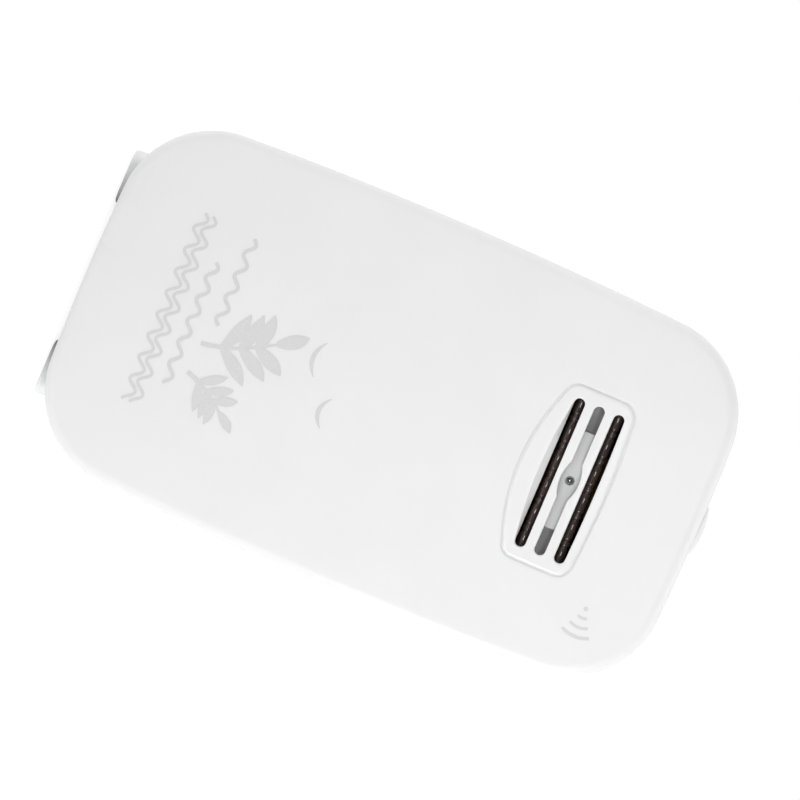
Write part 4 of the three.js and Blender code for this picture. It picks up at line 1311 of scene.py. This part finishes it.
def build_print():
    """Two leafy sprigs over wavy lines, two small arcs above, and a sound mark by the top corner."""
    parts = [wave(-19.2, 19.2, z) for z in (17.7, 19.3)]
    parts.append(wave(-11.5, 13.3, 23.3, height=0.8, width=0.7))
    parts.append(wave(-18.4, -0.7, 28.2, height=0.8, width=0.7))
    parts += sprig((3.6, 26.6), (-1.8, 40.0), 1.8, 8.4, 2.6, 3)
    parts += sprig((9.6, 26.4), (14.4, 35.0), -1.2, 5.8, 1.8, 3)
    for cx, cz, half in ((-2.4, 47.5, 3.5), (6.5, 52.4, 3.0)):
        steps = 12
        curve = bow((cx - half, cz + 1.2), (cx, cz - 1.8), (cx + half, cz + 1.2), steps)
        widths = [0.15 + 0.75 * math.sin(math.pi * i / steps) for i in range(steps + 1)]
        parts.append(ribbon("arc", curve, widths))
    mark_x, mark_z = 20.9, 113.0
    arcs = [arc(mark_x, mark_z, radius, -0.5, 0.5, 14) for radius in (1.9, 3.8, 5.7)]
    mark = [ribbon("sound", path, 0.55) for path in arcs]
    mark.append(disc(mark_x, mark_z, 0.45))
    for name, strokes in (("printed_motif", parts), ("printed_sound_mark", mark)):
        film = merge(name, strokes)
        shade(film, 60)
        finish_piece(film, "holder_grey", material=print_grey)


# ---- parts kept from the frame

def dress_frame_parts():
    """Parts inside the housing keep their shape and get rounded edges and real materials."""
    slots = {row["node"]: row["material_slot"] for row in frame["record"]["subparts"]}
    for node, thing in frame["nodes"].items():
        if thing.hide_render:
            continue
        thing.data.materials.clear()
        thing.data.materials.append(finishes[slots[node]])
        bevel(thing, 0.12, 2, 45)


# ---- studio

FRONT_AMBIENT = 0.235
BACK_AMBIENT = 1.0
FLOOR_GLOW = 0.78
FLOOR_HALF = 6000

KEY_POWER = 0.68
TOP_POWER = 1.2
FILL_POWER = 0.22
STRIP_POWER = 0.2
RIM_POWER = 0.08

# The camera stands a little to the object's left and above it, and is rolled so that the
# object's top points to the lower right of the picture.
CAMERA_AZIMUTH = -2.4
CAMERA_ELEVATION = 3.0
CAMERA_DISTANCE = 800.0
CAMERA_ROLL = 113.3
PICTURE_WIDTH = 150.4          # width of what the camera sees at the front face
PICTURE_OFFSET = (2.2, 0.6)    # how far the camera is moved to the picture's right and top


def build_world():
    """Even white surroundings, dimmer on the side that the front face looks at."""
    world = bpy.data.worlds.new("studio")
    bpy.context.scene.world = world
    world.use_nodes = True
    outward = position(world, "Y", "Generated")
    strength = spread(world, outward, FRONT_AMBIENT, BACK_AMBIENT, -0.95, -0.2)
    feed(world, world.node_tree.nodes["Background"], {"Color": (1, 1, 1, 1), "Strength": strength})


def build_floor():
    """A plain white floor, slightly satin, far larger than the view."""
    half = FLOOR_HALF
    corners = [(-half, -half, 0), (half, -half, 0), (half, half, 0), (-half, half, 0)]
    floor = new_object("floor", corners, [(0, 1, 2, 3)])
    material, shader = new_material("floor_white")
    cloud = noise(material, 0.002, 2)
    feed(material, shader, {
        "Base Color": ramp(material, cloud, [(0.3, (0.24,) * 3), (0.7, (0.26,) * 3)]),
        "Emission Color": ramp(material, cloud, [(0.3, (0.99,) * 3), (0.7, (1,) * 3)]),
        "Emission Strength": FLOOR_GLOW,
        "Roughness": 0.8,
        "Specular IOR Level": 0.1,
    })
    floor.data.materials.append(material)


def area_light(name, place, target, size, power):
    """A square soft box. Places are in millimetres, power in watts."""
    light = bpy.data.lights.new(name, "AREA")
    light.size = size * MM
    light.energy = power
    thing = add_object(name, light)
    thing.location = Vector(place) * MM
    aim = Vector(target) - Vector(place)
    thing.rotation_euler = aim.to_track_quat("-Z", "Y").to_euler()


def build_lights():
    centre = (0, 0, CENTRE_Z)
    area_light("key", (330, -260, 160), centre, 180, KEY_POWER)
    area_light("top", (60, 120, 900), centre, 500, TOP_POWER)
    area_light("left_fill", (-420, -80, 130), centre, 260, FILL_POWER)
    area_light("left_rim", (-330, -260, 150), (0, 0, GRILLE_Z), 80, RIM_POWER)
    area_light("front_strip", (0, -420, 185), (0, 0, GRILLE_Z), 50, STRIP_POWER)


def build_camera():
    camera = bpy.data.cameras.new("camera")
    thing = add_object("camera", camera)
    turn, rise = math.radians(CAMERA_AZIMUTH), math.radians(CAMERA_ELEVATION)
    back = Vector((math.sin(turn) * math.cos(rise), -math.cos(turn) * math.cos(rise), math.sin(rise)))
    upright = (-back).to_track_quat("-Z", "Y")
    rolled = upright @ Matrix.Rotation(math.radians(CAMERA_ROLL), 4, "Z").to_quaternion()
    target = Vector((0, FRONT_Y, CENTRE_Z))
    shift = rolled @ Vector((*PICTURE_OFFSET, 0))
    thing.location = (target + back * CAMERA_DISTANCE + shift) * MM
    thing.rotation_mode = "QUATERNION"
    thing.rotation_quaternion = rolled
    camera.sensor_width = 36
    camera.lens = camera.sensor_width * CAMERA_DISTANCE / PICTURE_WIDTH
    camera.clip_start = 0.01
    camera.clip_end = 50
    camera.dof.use_dof = False
    bpy.context.scene.camera = thing


# ---- everything in order

build_camera()
build_world()
build_floor()
build_lights()
bpy.context.scene.view_settings.view_transform = "Standard"

build_front_shell()
build_bezel()
build_horn()
build_emitter()
build_rear_shell()
build_door()
build_button()
build_foot("left_foot_pad", "foot_left")
build_foot("right_foot_pad", "foot_right")
for screw in range(1, 5):
    build_case_screw(screw)
build_inlet()
build_cells()
build_contacts()
build_print()
dress_frame_parts()
